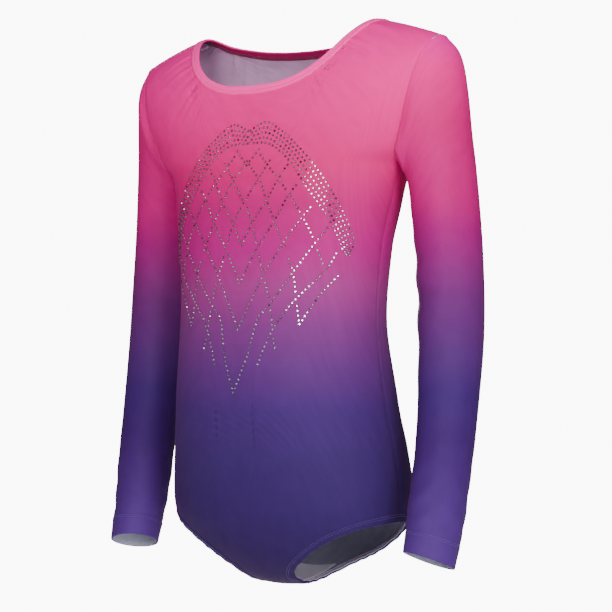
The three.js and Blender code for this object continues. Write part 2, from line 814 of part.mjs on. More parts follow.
export default root;
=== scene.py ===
import math
import bpy
import numpy as np
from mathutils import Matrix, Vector


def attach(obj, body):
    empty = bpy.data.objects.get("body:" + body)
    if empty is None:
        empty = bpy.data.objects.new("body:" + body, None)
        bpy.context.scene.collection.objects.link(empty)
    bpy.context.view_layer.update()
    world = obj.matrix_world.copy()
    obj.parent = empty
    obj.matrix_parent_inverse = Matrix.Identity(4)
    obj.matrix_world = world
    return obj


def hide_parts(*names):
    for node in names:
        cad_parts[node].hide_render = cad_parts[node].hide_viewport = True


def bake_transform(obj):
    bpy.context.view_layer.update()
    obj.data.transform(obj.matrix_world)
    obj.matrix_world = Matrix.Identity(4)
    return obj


# A child's gymnastics leotard, shown in the shape of its wearer. +Z up, the front faces -Y, the
# wearer's left is +X, and heights are measured from the high points of the shoulders.
# The shape is worked out in millimetres, as in the CAD part, and turned into metres at the end.
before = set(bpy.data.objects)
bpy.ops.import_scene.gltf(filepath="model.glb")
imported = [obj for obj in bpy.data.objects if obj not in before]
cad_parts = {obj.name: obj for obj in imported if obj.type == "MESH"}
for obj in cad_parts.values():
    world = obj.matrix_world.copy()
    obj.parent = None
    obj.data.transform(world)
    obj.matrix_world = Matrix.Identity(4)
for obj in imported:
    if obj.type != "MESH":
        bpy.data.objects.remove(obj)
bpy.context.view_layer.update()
mm = 0.001


# the wearer's shape, in millimetres

body = {
    "length": 572,  # shoulder to crotch
    "neckHalfWidth": 103,
    "tip": (175, -22),  # shoulder tip, x and height
    "underarm": (133, -150),
    "shoulderRound": 110,
    "seatRound": 0.839,
    "crotchCurve": 0.0035,
}
# share of length, half width, front, back and middle in Y
bodyLevels = [
    (-0.035, 218, -76, 70, 6),
    (0.038, 208, -76, 71, 5),
    (0.105, 190, -77, 72, 4),
    (0.192, 163, -78, 74, -1),
    (0.236, 148, -81, 74, -3.5),
    (150 / 572, 133, -83, 73.5, -5),
    (0.323, 124, -87.5, 71.5, -9),
    (0.402, 116, -92, 63, -15),
    (0.524, 111.5, -97, 61.5, -16.5),
    (0.673, 116.5, -106, 83, -8),
    (0.76, 123.5, -102, 94, -2),
    (0.839, 128, -96, 98, 0),
    (1.02, 129, -90, 92, -10),
]
sleeve = {
    "length": 520,
    "elbow": 0.63,
    "cuffTilt": 0.34,
    "armholeReach": 0.25,
}
# outer x and drop share, inner x and drop share, middle in Y, half depth in Y
sleeveRings = [
    (175, 0, 133, 0.246, 0, 42),
    (187, 0.031, 136, 0.26, 4, 44),
    (193, 0.092, 138, 0.279, 8, 41),
    (197, 0.179, 139, 0.304, 11, 38),
    (202, 0.265, 139, 0.337, 13, 36),
    (209, 0.419, 143, 0.433, 14, 34),
    (212, 0.563, 147, 0.563, 10, 33),
    (212, 0.727, 153, 0.727, -2, 30),
    (209, 0.881, 153, 0.877, -18, 28.5),
    (204, 0.996, 155, 0.979, -34, 26),
]
front, back = -1, 1


def through(points):
    # a smooth curve through (x, y) points that never overshoots them
    xs, ys = (np.array(v, float) for v in zip(*sorted(points)))
    step = np.diff(xs)
    rise = np.diff(ys) / step
    slope = np.concatenate([[rise[0]], np.zeros(len(xs) - 2), [rise[-1]]])
    for i in range(1, len(xs) - 1):
        if rise[i - 1] * rise[i] > 0:
            before, after = 2 * step[i] + step[i - 1], step[i] + 2 * step[i - 1]
            slope[i] = (before + after) / (before / rise[i - 1] + after / rise[i])

    def at(x):
        v = np.clip(x, xs[0], xs[-1])
        i = np.clip(np.searchsorted(xs, v, side="left") - 1, 0, len(step) - 1)
        t, h = (v - xs[i]) / step[i], step[i]
        start = (1 + 2 * t) * (1 - t) ** 2 * ys[i] + t * (1 - t) ** 2 * h * slope[i]
        return start + t * t * (3 - 2 * t) * ys[i + 1] + t * t * (t - 1) * h * slope[i + 1]

    return at


halfWidth, frontY, backY, middleY = (
    through([(-r[0] * body["length"], r[k]) for r in bodyLevels]) for k in (1, 2, 3, 4)
)
power = through([(at * body["length"], n) for at, n in ((-1.1, 2.3), (-0.3, 2.3), (-0.17, 2.4), (0.1, 2.3))])


def smooth(t):
    t = np.clip(t, 0, 1)
    return t * t * (3 - 2 * t)


def shoulderLine(x):
    neck, (tipX, tipZ) = body["neckHalfWidth"], body["tip"]
    return tipZ * (np.maximum(0, np.abs(x) - neck) / (tipX - neck)) ** 1.25


def crotchLine(x):
    return -body["length"] + body["crotchCurve"] * np.asarray(x, float) ** 2


def uprightShare(x, z):
    # how far the shoulders and the seat have rounded over at a height, from 1 to nothing
    top, seat = body["shoulderRound"], -body["seatRound"] * body["length"]
    share = np.where(z > -top, 1 - ((z + top) / (shoulderLine(x) + top)) ** 2, 1)
    return share * np.where(z < seat, 1 - ((seat - z) / (seat - crotchLine(x))) ** 2, 1)


def depthSquared(x, z):
    # squared half depth as a share of the full depth, nothing at every edge
    n = power(z)
    across = 1 - (np.abs(x) / halfWidth(z)) ** n
    return np.sign(across) * np.abs(across) ** (2 / n) * uprightShare(x, z)


def reach(side, z):
    return np.where(np.asarray(side) < 0, frontY(z), backY(z)) - middleY(z)


def bodyPoint(side, x, z):
    x, z = np.broadcast_arrays(np.asarray(x, float), np.asarray(z, float))
    y = middleY(z) + reach(side, z) * np.sqrt(np.maximum(0, depthSquared(x, z)))
    return np.stack([x, y, z], -1)


def spineLine(x, z):
    # points where front and back meet
    x, z = np.broadcast_arrays(np.asarray(x, float), np.asarray(z, float))
    return np.stack([x, middleY(z), z], -1)


def bodyField(p):
    # negative inside the body, zero on its surface
    off = p[..., 1] - middleY(p[..., 2])
    return (off / reach(np.where(off < 0, -1, 1), p[..., 2])) ** 2 - depthSquared(p[..., 0], p[..., 2])


def bodyGradient(p):
    h = 0.02
    g = np.zeros_like(p)
    for k in range(3):
        step = np.zeros(3)
        step[k] = h
        g[..., k] = (bodyField(p + step) - bodyField(p - step)) / (2 * h)
    return g


def unit(v):
    return v / np.maximum(np.linalg.norm(v, axis=-1, keepdims=True), 1e-9)


def bodyNormal(p):
    return unit(bodyGradient(p))


def ontoBody(p):
    q = np.array(p, float)
    for _ in range(8):
        g = bodyGradient(q)
        q = q - g * (bodyField(q) / np.maximum((g * g).sum(-1), 1e-12))[..., None]
    return q


def spline(points, t, ends="carry"):
    # Catmull-Rom through rows of numbers, t from 0 to 1 over the whole
    rows = np.array(points, float)
    first, last = rows[:1], rows[-1:]
    if ends == "carry":
        first, last = 2 * first - rows[1:2], 2 * last - rows[-2:-1]
    rows = np.vstack([first, rows, last])
    v = np.clip(np.asarray(t, float), 0, 1) * (len(rows) - 3)
    i = np.minimum(v.astype(int), len(rows) - 4)
    u = (v - i)[..., None]
    a, b, c, d = rows[i], rows[i + 1], rows[i + 2], rows[i + 3]
    return (2 * b + (c - a) * u + (2 * a - 5 * b + 4 * c - d) * u**2 + (3 * b - a - 3 * c + d) * u**3) / 2


def lengthAlong(points):
    return np.concatenate([[0], np.cumsum(np.linalg.norm(np.diff(points, axis=0), axis=1))])


def evenly(points, t):
    # a curve through the points, by share of its length
    fine = spline(points, np.linspace(0, 1, 800), ends="repeat")
    along = lengthAlong(fine)
    at = np.asarray(t, float) * along[-1]
    return np.stack([np.interp(at, along, fine[:, k]) for k in range(fine.shape[1])], -1)


# the openings and the seam lines

neckOutline = {
    front: [(0, -67), (30, -65), (56, -56), (76, -40), (90, -20), (103, 0)],
    back: [(0, -16), (30, -15), (60, -12), (90, -6), (103, 0)],
}
armholeOutline = [(175, -22), (170, -38), (164, -60), (155, -95), (145, -125), (138, -141), (133, -150)]
legStart = (30, float(crotchLine(30)))
legOutline = {
    front: [legStart, (33, -558), (45, -546), (75, -525), (105, -510), (129, -503)],
    back: [legStart, (36, -563), (52, -553), (82, -539), (110, -520), (129, -503)],
}
mirrorX = np.array([-1.0, 1, 1])


def easeBoth(t):
    return (1 - np.cos(np.pi * t)) / 2


def easeEnd(t):
    return np.sin(np.pi / 2 * t)


def edgeHalves(outline, ease, cuts):
    # the front half of an opening's edge, then the back half coming home
    t = ease(np.linspace(0, 1, cuts + 1))
    halves = []
    for side in (front, back):
        xz = evenly(outline[side], t)
        halves.append(bodyPoint(side, xz[:, 0], xz[:, 1]))
    return halves[0], halves[1][::-1]


def evenLoop(loop, count):
    closed = np.vstack([loop, loop[:1]])
    along = lengthAlong(closed)
    at = np.linspace(0, along[-1], count, endpoint=False)
    return ontoBody(np.stack([np.interp(at, along, closed[:, k]) for k in range(3)], -1))


def edgeFrame(loop, easing=3):
    # a closed edge: its points, and at each the way into the cloth along the surface
    tangent = np.roll(loop, -1, 0) - np.roll(loop, 1, 0)
    into = unit(np.cross(bodyNormal(loop), tangent))
    into[(into * (loop - loop.mean(0))).sum(1) < 0] *= -1
    for _ in range(easing):
        into = unit(np.roll(into, 1, 0) + 2 * into + np.roll(into, -1, 0))
    return loop, into


def walkBody(edge, inward, out):
    # from an edge, so far into the cloth and so far off it
    points, into = edge
    q = ontoBody(points + into * np.asarray(inward, float)[..., None])
    return q + bodyNormal(q) * np.asarray(out, float)[..., None]


neckFront, neckBack = edgeHalves(neckOutline, easeEnd, 90)
neckLoop = np.vstack([
    neckFront, neckBack[1:], neckBack[1:-1][::-1] * mirrorX, neckFront[1:][::-1] * mirrorX])
armholeFront, armholeBack = edgeHalves({front: armholeOutline, back: armholeOutline}, easeBoth, 90)
armholeLoop = np.vstack([armholeFront, armholeBack[1:-1]])
legFront, legBack = edgeHalves(legOutline, easeBoth, 120)
legLoop = np.vstack([legFront, legBack[1:-1]])
neckEdge = edgeFrame(evenLoop(neckLoop, 300))
armholeEdge = edgeFrame(evenLoop(armholeLoop, 220))
legEdge = edgeFrame(evenLoop(legLoop, 300))


def flip(edge):
    # the same edge on the other side of the body
    points, into = edge
    return points[::-1] * mirrorX, into[::-1] * mirrorX


def nearest(points, line):
    # distance to the nearest point of a line, and which point that is
    flat = points.reshape(-1, 3)
    gap = np.empty(len(flat))
    which = np.empty(len(flat), int)
    for a in range(0, len(flat), 20000):
        d = ((flat[a:a + 20000, None] - line[None]) ** 2).sum(2)
        which[a:a + 20000] = d.argmin(1)
        gap[a:a + 20000] = np.sqrt(d.min(1))
    return gap.reshape(points.shape[:-1]), which.reshape(points.shape[:-1])


def waves(p, seed, length, count=14):
    # soft seeded noise from about -1 to 1, its bumps about `length` millimetres across
    rng = np.random.default_rng(seed)
    total = np.zeros(p.shape[:-1])
    for _ in range(count):
        way = unit(rng.normal(size=3))
        turn = 2 * math.pi / (length * rng.uniform(0.7, 1.6))
        total += np.sin(p @ way * turn + rng.uniform(0, 2 * math.pi))
    return total / math.sqrt(count / 2) / 1.6


# finishes

def linear(rgb):
    c = np.array(rgb, float) / 255
    return tuple(np.where(c < 0.04045, c / 12.92, ((c + 0.055) / 1.055) ** 2.4)) + (1.0,)


def newMaterial(name, roughness, **fixed):
    mat = bpy.data.materials.new(name)
    mat.use_nodes = True
    nodes, links = mat.node_tree.nodes, mat.node_tree.links
    shader = nodes["Principled BSDF"]
    shader.inputs["Roughness"].default_value = roughness
    for key, value in fixed.items():
        shader.inputs[key].default_value = value
    return mat, nodes, links, shader


def addNoise(nodes, links, vector, scale, detail=3.0):
    noise = nodes.new("ShaderNodeTexNoise")
    noise.inputs["Scale"].default_value = scale
    noise.inputs["Detail"].default_value = detail
    links.new(vector, noise.inputs["Vector"])
    return noise.outputs["Fac"]


def addRange(nodes, links, value, low, high, fromLow=0.3, fromHigh=0.7):
    node = nodes.new("ShaderNodeMapRange")
    for key, v in (("From Min", fromLow), ("From Max", fromHigh), ("To Min", low), ("To Max", high)):
        node.inputs[key].default_value = v
    links.new(value, node.inputs["Value"])
    return node.outputs["Result"]


def knitFinish(name, stops, roughness=0.6, sheen=0.04, weave=0.10, mottling=0.05, tint=(1.0, 0.25, 0.7, 1)):
    # fine warp knit, its colour changing down the garment by the rest height stored as "drop"
    mat, nodes, links, shader = newMaterial(name, roughness, **{
        "Sheen Weight": sheen, "Sheen Roughness": 0.45, "Sheen Tint": tint, "Specular IOR Level": 0.06})
    uv = nodes.new("ShaderNodeUVMap").outputs["UV"]
    drop = nodes.new("ShaderNodeAttribute")
    drop.attribute_name = "drop"
    ramp = nodes.new("ShaderNodeValToRGB")
    longest = 0.6
    for k, (at, rgb) in enumerate(stops):
        if k < 2:
            stop = ramp.color_ramp.elements[k]
            stop.position = at / 1000 / longest
        else:
            stop = ramp.color_ramp.elements.new(at / 1000 / longest)
        stop.color = linear(rgb)
    share = nodes.new("ShaderNodeMath")
    share.operation = "DIVIDE"
    share.inputs[1].default_value = longest
    links.new(drop.outputs["Fac"], share.inputs[0])
    links.new(share.outputs[0], ramp.inputs["Fac"])
    # colour variation: soft mottling and the faint ribs of the knit
    mottle = addRange(nodes, links, addNoise(nodes, links, uv, 60.0), 1 - mottling, 1 + mottling)
    wales = nodes.new("ShaderNodeTexWave")
    wales.bands_direction = "X"
    wales.inputs["Scale"].default_value = 420.0
    wales.inputs["Distortion"].default_value = 1.5
    wales.inputs["Detail"].default_value = 1.0
    links.new(uv, wales.inputs["Vector"])
    courses = nodes.new("ShaderNodeTexWave")
    courses.bands_direction = "Y"
    courses.inputs["Scale"].default_value = 300.0
    courses.inputs["Distortion"].default_value = 2.0
    links.new(uv, courses.inputs["Vector"])
    both = nodes.new("ShaderNodeMath")
    both.operation = "MULTIPLY"
    links.new(wales.outputs["Fac"], both.inputs[0])
    links.new(courses.outputs["Fac"], both.inputs[1])
    tint = nodes.new("ShaderNodeMix")
    tint.data_type = "RGBA"
    tint.blend_type = "MULTIPLY"
    tint.inputs["Factor"].default_value = 1.0
    grey = nodes.new("ShaderNodeCombineColor")
    for key in ("Red", "Green", "Blue"):
        links.new(mottle, grey.inputs[key])
    links.new(ramp.outputs["Color"], tint.inputs["A"])
    links.new(grey.outputs["Color"], tint.inputs["B"])
    links.new(tint.outputs["Result"], shader.inputs["Base Color"])
    links.new(addRange(nodes, links, addNoise(nodes, links, uv, 35.0), roughness - 0.05, roughness + 0.07),
              shader.inputs["Roughness"])
    bump = nodes.new("ShaderNodeBump")
    bump.inputs["Strength"].default_value = weave
    bump.inputs["Distance"].default_value = 0.0003
    links.new(both.outputs[0], bump.inputs["Height"])
    links.new(bump.outputs["Normal"], shader.inputs["Normal"])
    return mat


def threadFinish(name, rgb, roughness=0.6, twist=900.0):
    mat, nodes, links, shader = newMaterial(
        name, roughness, **{"Sheen Weight": 0.2, "Specular IOR Level": 0.3})
    place = nodes.new("ShaderNodeTexCoord").outputs["Object"]
    fibre = addNoise(nodes, links, place, twist)
    ramp = nodes.new("ShaderNodeValToRGB")
    ramp.color_ramp.elements[0].color = linear(np.array(rgb) * 0.86)
    ramp.color_ramp.elements[1].color = linear(np.minimum(np.array(rgb) * 1.06, 255))
    ramp.color_ramp.elements[0].position, ramp.color_ramp.elements[1].position = 0.3, 0.7
    links.new(fibre, ramp.inputs["Fac"])
    links.new(ramp.outputs["Color"], shader.inputs["Base Color"])
    links.new(addRange(nodes, links, fibre, roughness - 0.08, roughness + 0.08), shader.inputs["Roughness"])
    bump = nodes.new("ShaderNodeBump")
    bump.inputs["Strength"].default_value = 0.25
    bump.inputs["Distance"].default_value = 0.0002
    links.new(fibre, bump.inputs["Height"])
    links.new(bump.outputs["Normal"], shader.inputs["Normal"])
    return mat


def stoneFinish(name, rgb, roughness, metallic, spread=(0.35, 0.65)):
    mat, nodes, links, shader = newMaterial(name, roughness, **{"Metallic": metallic, "Coat Weight": 0.3})
    place = nodes.new("ShaderNodeTexCoord").outputs["Object"]
    cell = addNoise(nodes, links, place, 300.0, 1.0)
    ramp = nodes.new("ShaderNodeValToRGB")
    ramp.color_ramp.elements[0].color = linear(np.array(rgb) * 0.45)
    ramp.color_ramp.elements[1].color = linear(np.minimum(np.array(rgb) * 1.15, 255))
    ramp.color_ramp.elements[0].position, ramp.color_ramp.elements[1].position = spread
    links.new(cell, ramp.inputs["Fac"])
    # painted shade: stones less than 0.19 m below the shoulder are darkened to 0.42 of their colour,
    # brightening to full by 0.27 m
    drop = nodes.new("ShaderNodeAttribute")
    drop.attribute_name = "drop"
    paintedShade = nodes.new("ShaderNodeCombineColor")
    level = addRange(nodes, links, drop.outputs["Fac"], 0.42, 1.0, 0.19, 0.27)
    for key in ("Red", "Green", "Blue"):
        links.new(level, paintedShade.inputs[key])
    tint = nodes.new("ShaderNodeMix")
    tint.data_type = "RGBA"
    tint.blend_type = "MULTIPLY"
    tint.inputs["Factor"].default_value = 1.0
    links.new(ramp.outputs["Color"], tint.inputs["A"])
    links.new(paintedShade.outputs["Color"], tint.inputs["B"])
    links.new(tint.outputs["Result"], shader.inputs["Base Color"])
    rough = addRange(nodes, links, cell, max(roughness - 0.06, 0.02), roughness + 0.06)
    links.new(rough, shader.inputs["Roughness"])
    bump = nodes.new("ShaderNodeBump")
    bump.inputs["Strength"].default_value = 0.15
    bump.inputs["Distance"].default_value = 0.0001
    links.new(cell, bump.inputs["Height"])
    links.new(bump.outputs["Normal"], shader.inputs["Normal"])
    return mat


# height below the shoulder in millimetres, and the dyed colour there; the list for the binding's inner leg
# is not a dye but the binding pink darkened as painted shade
bodyDye = [
    (0, (236, 8, 139)), (90, (211, 8, 117)), (150, (188, 8, 99)), (190, (162, 12, 98)),
    (230, (152, 15, 105)), (270, (130, 42, 107)), (310, (100, 40, 102)), (350, (77, 35, 97)),
    (390, (55, 30, 89)), (440, (47, 28, 81)), (560, (34, 19, 65)),
]
sleeveDye = [
    (0, (236, 8, 159)), (60, (213, 8, 119)), (110, (180, 8, 99)), (185, (161, 9, 97)),
    (215, (134, 14, 96)), (250, (108, 27, 95)), (280, (86, 29, 91)), (335, (66, 30, 90)),
    (372, (50, 25, 86)), (420, (50, 22, 83)), (560, (70, 41, 109)),
]
bindingDye = [(0, (255, 48, 160)), (90, (250, 36, 150)), (300, (250, 36, 150))]
# painted shade: the inner leg of the folded neck binding is the same pink knit, darkened here to stand in
# for the shade it lies in
bindingInnerShadeDye = [(0, (150, 18, 78)), (90, (150, 18, 78)), (300, (150, 18, 78))]
insideDye = [
    (0, (184, 138, 176)), (100, (178, 138, 174)), (250, (160, 138, 168)), (350, (146, 134, 166)),
    (450, (150, 148, 170)), (560, (154, 154, 174)),
]
liningDye = [(0, (226, 222, 230)), (300, (226, 222, 230)), (560, (214, 210, 222))]
bodyKnit = knitFinish("body knit", bodyDye)
sleeveKnit = knitFinish("sleeve knit", sleeveDye, roughness=0.55)
bindingKnit = knitFinish("binding knit", bindingDye)
# the same pink knit as the binding, painted darker as shade for the binding's inner leg
bindingInnerShade = knitFinish("binding inner painted shade", bindingInnerShadeDye)
insideKnit = knitFinish("knit inside", insideDye, roughness=0.7, mottling=0.08)
liningKnit = knitFinish("lining knit", liningDye, roughness=0.75)
elasticFinish = threadFinish("elastic", (228, 226, 232), twist=500.0)
pinkThread = threadFinish("pink thread", (216, 40, 122))
paleThread = threadFinish("pale thread", (236, 190, 214))
darkThread = threadFinish("crimson thread", (110, 16, 58))
violetThread = threadFinish("violet thread", (66, 44, 116))
stoneTable = stoneFinish("stone facets", (220, 222, 230), 0.15, 0.7)
stoneRim = stoneFinish("stone rims", (40, 34, 46), 0.35, 0.3)


# building meshes

def makeMesh(name, points, quads, materials, which=None, uv=None, flat=False, crispFrom=None):
    # points in millimetres; quads may be triangles too; the faces from crispFrom on keep hard edges
    mesh = bpy.data.meshes.new(name)
    quads = np.asarray(quads, np.int32)
    size = quads.shape[1]
    mesh.vertices.add(len(points))
    mesh.vertices.foreach_set("co", (np.asarray(points) * mm).astype(np.float32).ravel())
    mesh.loops.add(quads.size)
    mesh.loops.foreach_set("vertex_index", quads.ravel())
    mesh.polygons.add(len(quads))
    mesh.polygons.foreach_set("loop_start", np.arange(0, quads.size, size, dtype=np.int32))
    mesh.polygons.foreach_set("use_smooth", np.full(len(quads), not flat))
    for mat in materials:
        mesh.materials.append(mat)
    if which is not None:
        mesh.polygons.foreach_set("material_index", np.asarray(which, np.int32))
    mesh.update(calc_edges=True)
    if crispFrom is not None and crispFrom < len(quads):
        edges = np.empty(quads.size, np.int32)
        mesh.loops.foreach_get("edge_index", edges)
        sharp = np.zeros(len(mesh.edges), bool)
        sharp[edges[crispFrom * size:]] = True
        mesh.attributes.new("sharp_edge", "BOOLEAN", "EDGE").data.foreach_set("value", sharp)
    if uv is None:
        uv = np.asarray(points)[:, [0, 2]]
    layer = mesh.uv_layers.new(name="UVMap")
    layer.data.foreach_set("uv", (np.asarray(uv) * mm)[quads.ravel()].astype(np.float32).ravel())
    stored = mesh.attributes.new("drop", "FLOAT", "POINT")
    stored.data.foreach_set("value", (-np.asarray(points)[:, 2] * mm).astype(np.float32))
    obj = bpy.data.objects.new(name, mesh)
    bpy.context.scene.collection.objects.link(obj)
    return obj


def gridNormals(g, aroundI, aroundJ, outward):
    # normals of a grid of points, turned to the side that `outward` names
    def slope(axis, around):
        if around:
            return np.roll(g, -1, axis) - np.roll(g, 1, axis)
        return np.gradient(g, axis=axis)

    n = unit(np.cross(slope(0, aroundI), slope(1, aroundJ)))
    if np.einsum("ijk,ijk->", n, outward) < 0:
        n = -n
    return n


def shell(name, grid, normals, thickness, materials, aroundI=False, aroundJ=False, inside=1,
          outsideOf=None, uv=None):
    # a sheet of cloth: an outer face, an inner face one thickness below, and its cut edges
    rows, cols = grid.shape[:2]
    inner = grid - normals * np.broadcast_to(np.asarray(thickness, float), grid.shape[:2])[..., None]
    points = np.vstack([grid.reshape(-1, 3), inner.reshape(-1, 3)])
    index = np.arange(rows * cols).reshape(rows, cols)
    a = index if aroundI else index[:-1]
    b = np.roll(index, -1, 0) if aroundI else index[1:]
    if aroundJ:
        quad = np.stack([a, b, np.roll(b, -1, 1), np.roll(a, -1, 1)], -1)
    else:
        quad = np.stack([a[:, :-1], b[:, :-1], b[:, 1:], a[:, 1:]], -1)
    shape = quad.shape[:2]
    quad = quad.reshape(-1, 4)
    p0, p1, p3 = (grid.reshape(-1, 3)[quad[:, k]] for k in (0, 1, 3))
    facing = np.einsum("ij,ij->", np.cross(p1 - p0, p3 - p0), normals.reshape(-1, 3)[quad[:, 0]])
    if facing < 0:
        quad = quad[:, ::-1]
    under = quad[:, ::-1] + rows * cols
    rims = []
    for line, closed, on in ((index[0], aroundJ, not aroundI), (index[-1], aroundJ, not aroundI),
                             (index[:, 0], aroundI, not aroundJ), (index[:, -1], aroundI, not aroundJ)):
        if on:
            nxt = np.roll(line, -1) if closed else line[1:]
            here = line if closed else line[:-1]
            rims.append(np.stack([here, nxt, nxt + rows * cols, here + rows * cols], -1))
    rim = np.vstack(rims) if rims else np.zeros((0, 4), int)
    if len(rim):
        # turn each cut edge to look away from the sheet
        rounds = set(map(tuple, np.concatenate([quad[:, [k, (k + 1) % 4]] for k in range(4)]).tolist()))
        rim = np.array([q if (q[1], q[0]) in rounds else (q[1], q[0], q[3], q[2]) for q in rim.tolist()])
    outerLook = np.zeros(len(quad), int) if outsideOf is None else outsideOf(shape).reshape(-1)
    which = np.concatenate([outerLook, np.full(len(under), inside), np.zeros(len(rim), int)])
    if uv is None:
        down = np.cumsum(np.linalg.norm(np.diff(grid, axis=0), axis=2), axis=0)
        across = np.cumsum(np.linalg.norm(np.diff(grid, axis=1), axis=2), axis=1)
        u = np.concatenate([np.zeros((1, cols)), down])
        v = np.concatenate([np.zeros((rows, 1)), across], 1)
        uv = np.stack([u, v], -1)
    uv = np.vstack([uv.reshape(-1, 2)] * 2)
    faces = np.vstack([quad, under, rim])
    return makeMesh(name, points, faces, materials, which, uv, crispFrom=2 * len(quad))


def stitchMesh(name, starts, ends, normals, radius, material, lift=0.4):
    # each stitch is a small rounded length of thread, its ends sinking into the cloth
    along = np.array([0, 0.18, 0.5, 0.82, 1.0])
    high = np.array([-0.6, 0.35, 0.75, 0.35, -0.6])
    thick = np.array([0.55, 0.95, 1.0, 0.95, 0.55])
    way = unit(ends - starts)
    across = unit(np.cross(way, normals))
    turns = np.linspace(0, 2 * np.pi, 6, endpoint=False)
    rings = []
    for t, h, w in zip(along, high, thick):
        centre = starts + (ends - starts) * t + normals * (lift * radius + h * radius)
        ring = [centre + radius * w * (across * math.cos(a) + normals * math.sin(a)) for a in turns]
        rings.append(np.stack(ring, 1))
    points = np.stack(rings, 1)
    count = len(starts)
    base = (np.arange(count) * 30)[:, None, None]
    i, k = np.meshgrid(np.arange(4), np.arange(6), indexing="ij")
    nextK = (k + 1) % 6
    one = np.stack([i * 6 + k, i * 6 + nextK, (i + 1) * 6 + nextK, (i + 1) * 6 + k], -1).reshape(-1, 4)
    caps = np.array([[0, 5, 4, 3], [0, 3, 2, 1], [24, 25, 26, 27], [24, 27, 28, 29]])
    quads = (np.vstack([one, caps])[None] + base).reshape(-1, 4)
    return makeMesh(name, points.reshape(-1, 3), quads, [material])


def runOf(points, normals, pitch, share):
    # stitches of one row: where each starts and ends
    along = lengthAlong(points)
    count = max(2, int(along[-1] / pitch))
    starts = (np.arange(count) + 0.5 * (1 - share)) * along[-1] / count
    ends = starts + share * along[-1] / count

    def at(s, v):
        return np.stack([np.interp(s, along, v[:, k]) for k in range(3)], -1)

    return at(starts, points), at(ends, points), unit(at((starts + ends) / 2, normals))


def zigzagOf(points, other, normals, pitch):
    # stitches running back and forth between two rows
    along = lengthAlong(points)
    count = max(2, int(along[-1] / pitch))
    s = np.linspace(0, along[-1], count)
    a = np.stack([np.interp(s, along, points[:, k]) for k in range(3)], -1)
    b = np.stack([np.interp(s, along, other[:, k]) for k in range(3)], -1)
    n = unit(np.stack([np.interp(s, along, normals[:, k]) for k in range(3)], -1))
    tops = np.where((np.arange(count) % 2 == 0)[:, None], a, b)
    return tops[:-1], tops[1:], n[:-1]


def closeLoop(p):
    return np.vstack([p, p[:1]])


def joined(*runs):
    return tuple(np.vstack([r[k] for r in runs]) for k in range(3))


def finishPiece(obj, body, nodes=()):
    if nodes:
        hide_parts(*nodes)
    if isinstance(body, str):
        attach(obj, body)
    else:
        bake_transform(obj)
    return obj


# front and back panels

panels = {
    "thickness": 0.9,
    "rows": 300,
    "neckColumns": 44,
    "shoulderColumns": 26,
    "armholeColumns": 56,
    "crotchColumns": 14,
    "underBinding": 4,  # how far the cloth runs inside the neck binding
    "underHem": 8.6,
    "seamValley": 0.55,  # how deep the seams pull the cloth in
    "valleyWidth": 2.4,
    "gather": 0.75,  # depth of the small folds round the neck
    "ripple": 0.5,  # depth of the fine slanting ripples low on the front
}


def rowShare(t, shoulder=(0.30, 0.24), seat=(0.22, 0.16)):
    # rows lie close together where the shoulder and the seat round over
    top = shoulder[1] * (1 - np.cos(np.pi / 2 * np.minimum(t / shoulder[0], 1)))
    low = 1 - seat[1] * (1 - np.cos(np.pi / 2 * np.minimum((1 - t) / seat[0], 1)))
    middle = shoulder[1] + (1 - seat[1] - shoulder[1]) * (t - shoulder[0]) / (1 - seat[0] - shoulder[0])
    return np.where(t < shoulder[0], top, np.where(1 - t < seat[0], low, middle))


def angleOf(side, p):
    # how far round the body a point lies: 0 at the middle, a right angle at the side seam
    x, y, z = np.moveaxis(p, -1, 0)
    share = np.minimum(1, np.abs(x) / halfWidth(z)) ** (power(z) / 2)
    upright = uprightShare(x, z)
    off = np.maximum(0, (y - middleY(z)) / reach(side, z)) / np.sqrt(np.maximum(upright, 1e-9))
    nearSide = (share > 0.7) & (upright > 0.2) & (z < -200)
    return np.where(nearSide, np.arctan2(share, off ** (power(z) / 2)), np.arcsin(share))


def widthAt(angle, z):
    return halfWidth(z) * np.sin(angle) ** (2 / power(z))


def resample(points, at):
    # points of a line at these shares of its length
    along = lengthAlong(points)
    at = np.asarray(at) * along[-1]
    return np.stack([np.interp(at, along, points[:, k]) for k in range(points.shape[1])], -1)


def openingEdge(side, outline, inward):
    # the cut edge of one panel along an opening, from the middle or the crotch outwards
    xz = evenly(outline, np.linspace(0, 1, 600))
    line = bodyPoint(side, xz[:, 0], xz[:, 1])
    into = unit(np.cross(bodyNormal(line), np.gradient(line, axis=0)))
    inner = line.mean(0) * (0.3, 1, 1) if outline[0][0] == 0 else line.mean(0)
    into[(into * (line - inner)).sum(1) < 0] *= -1
    return ontoBody(line + into * inward)


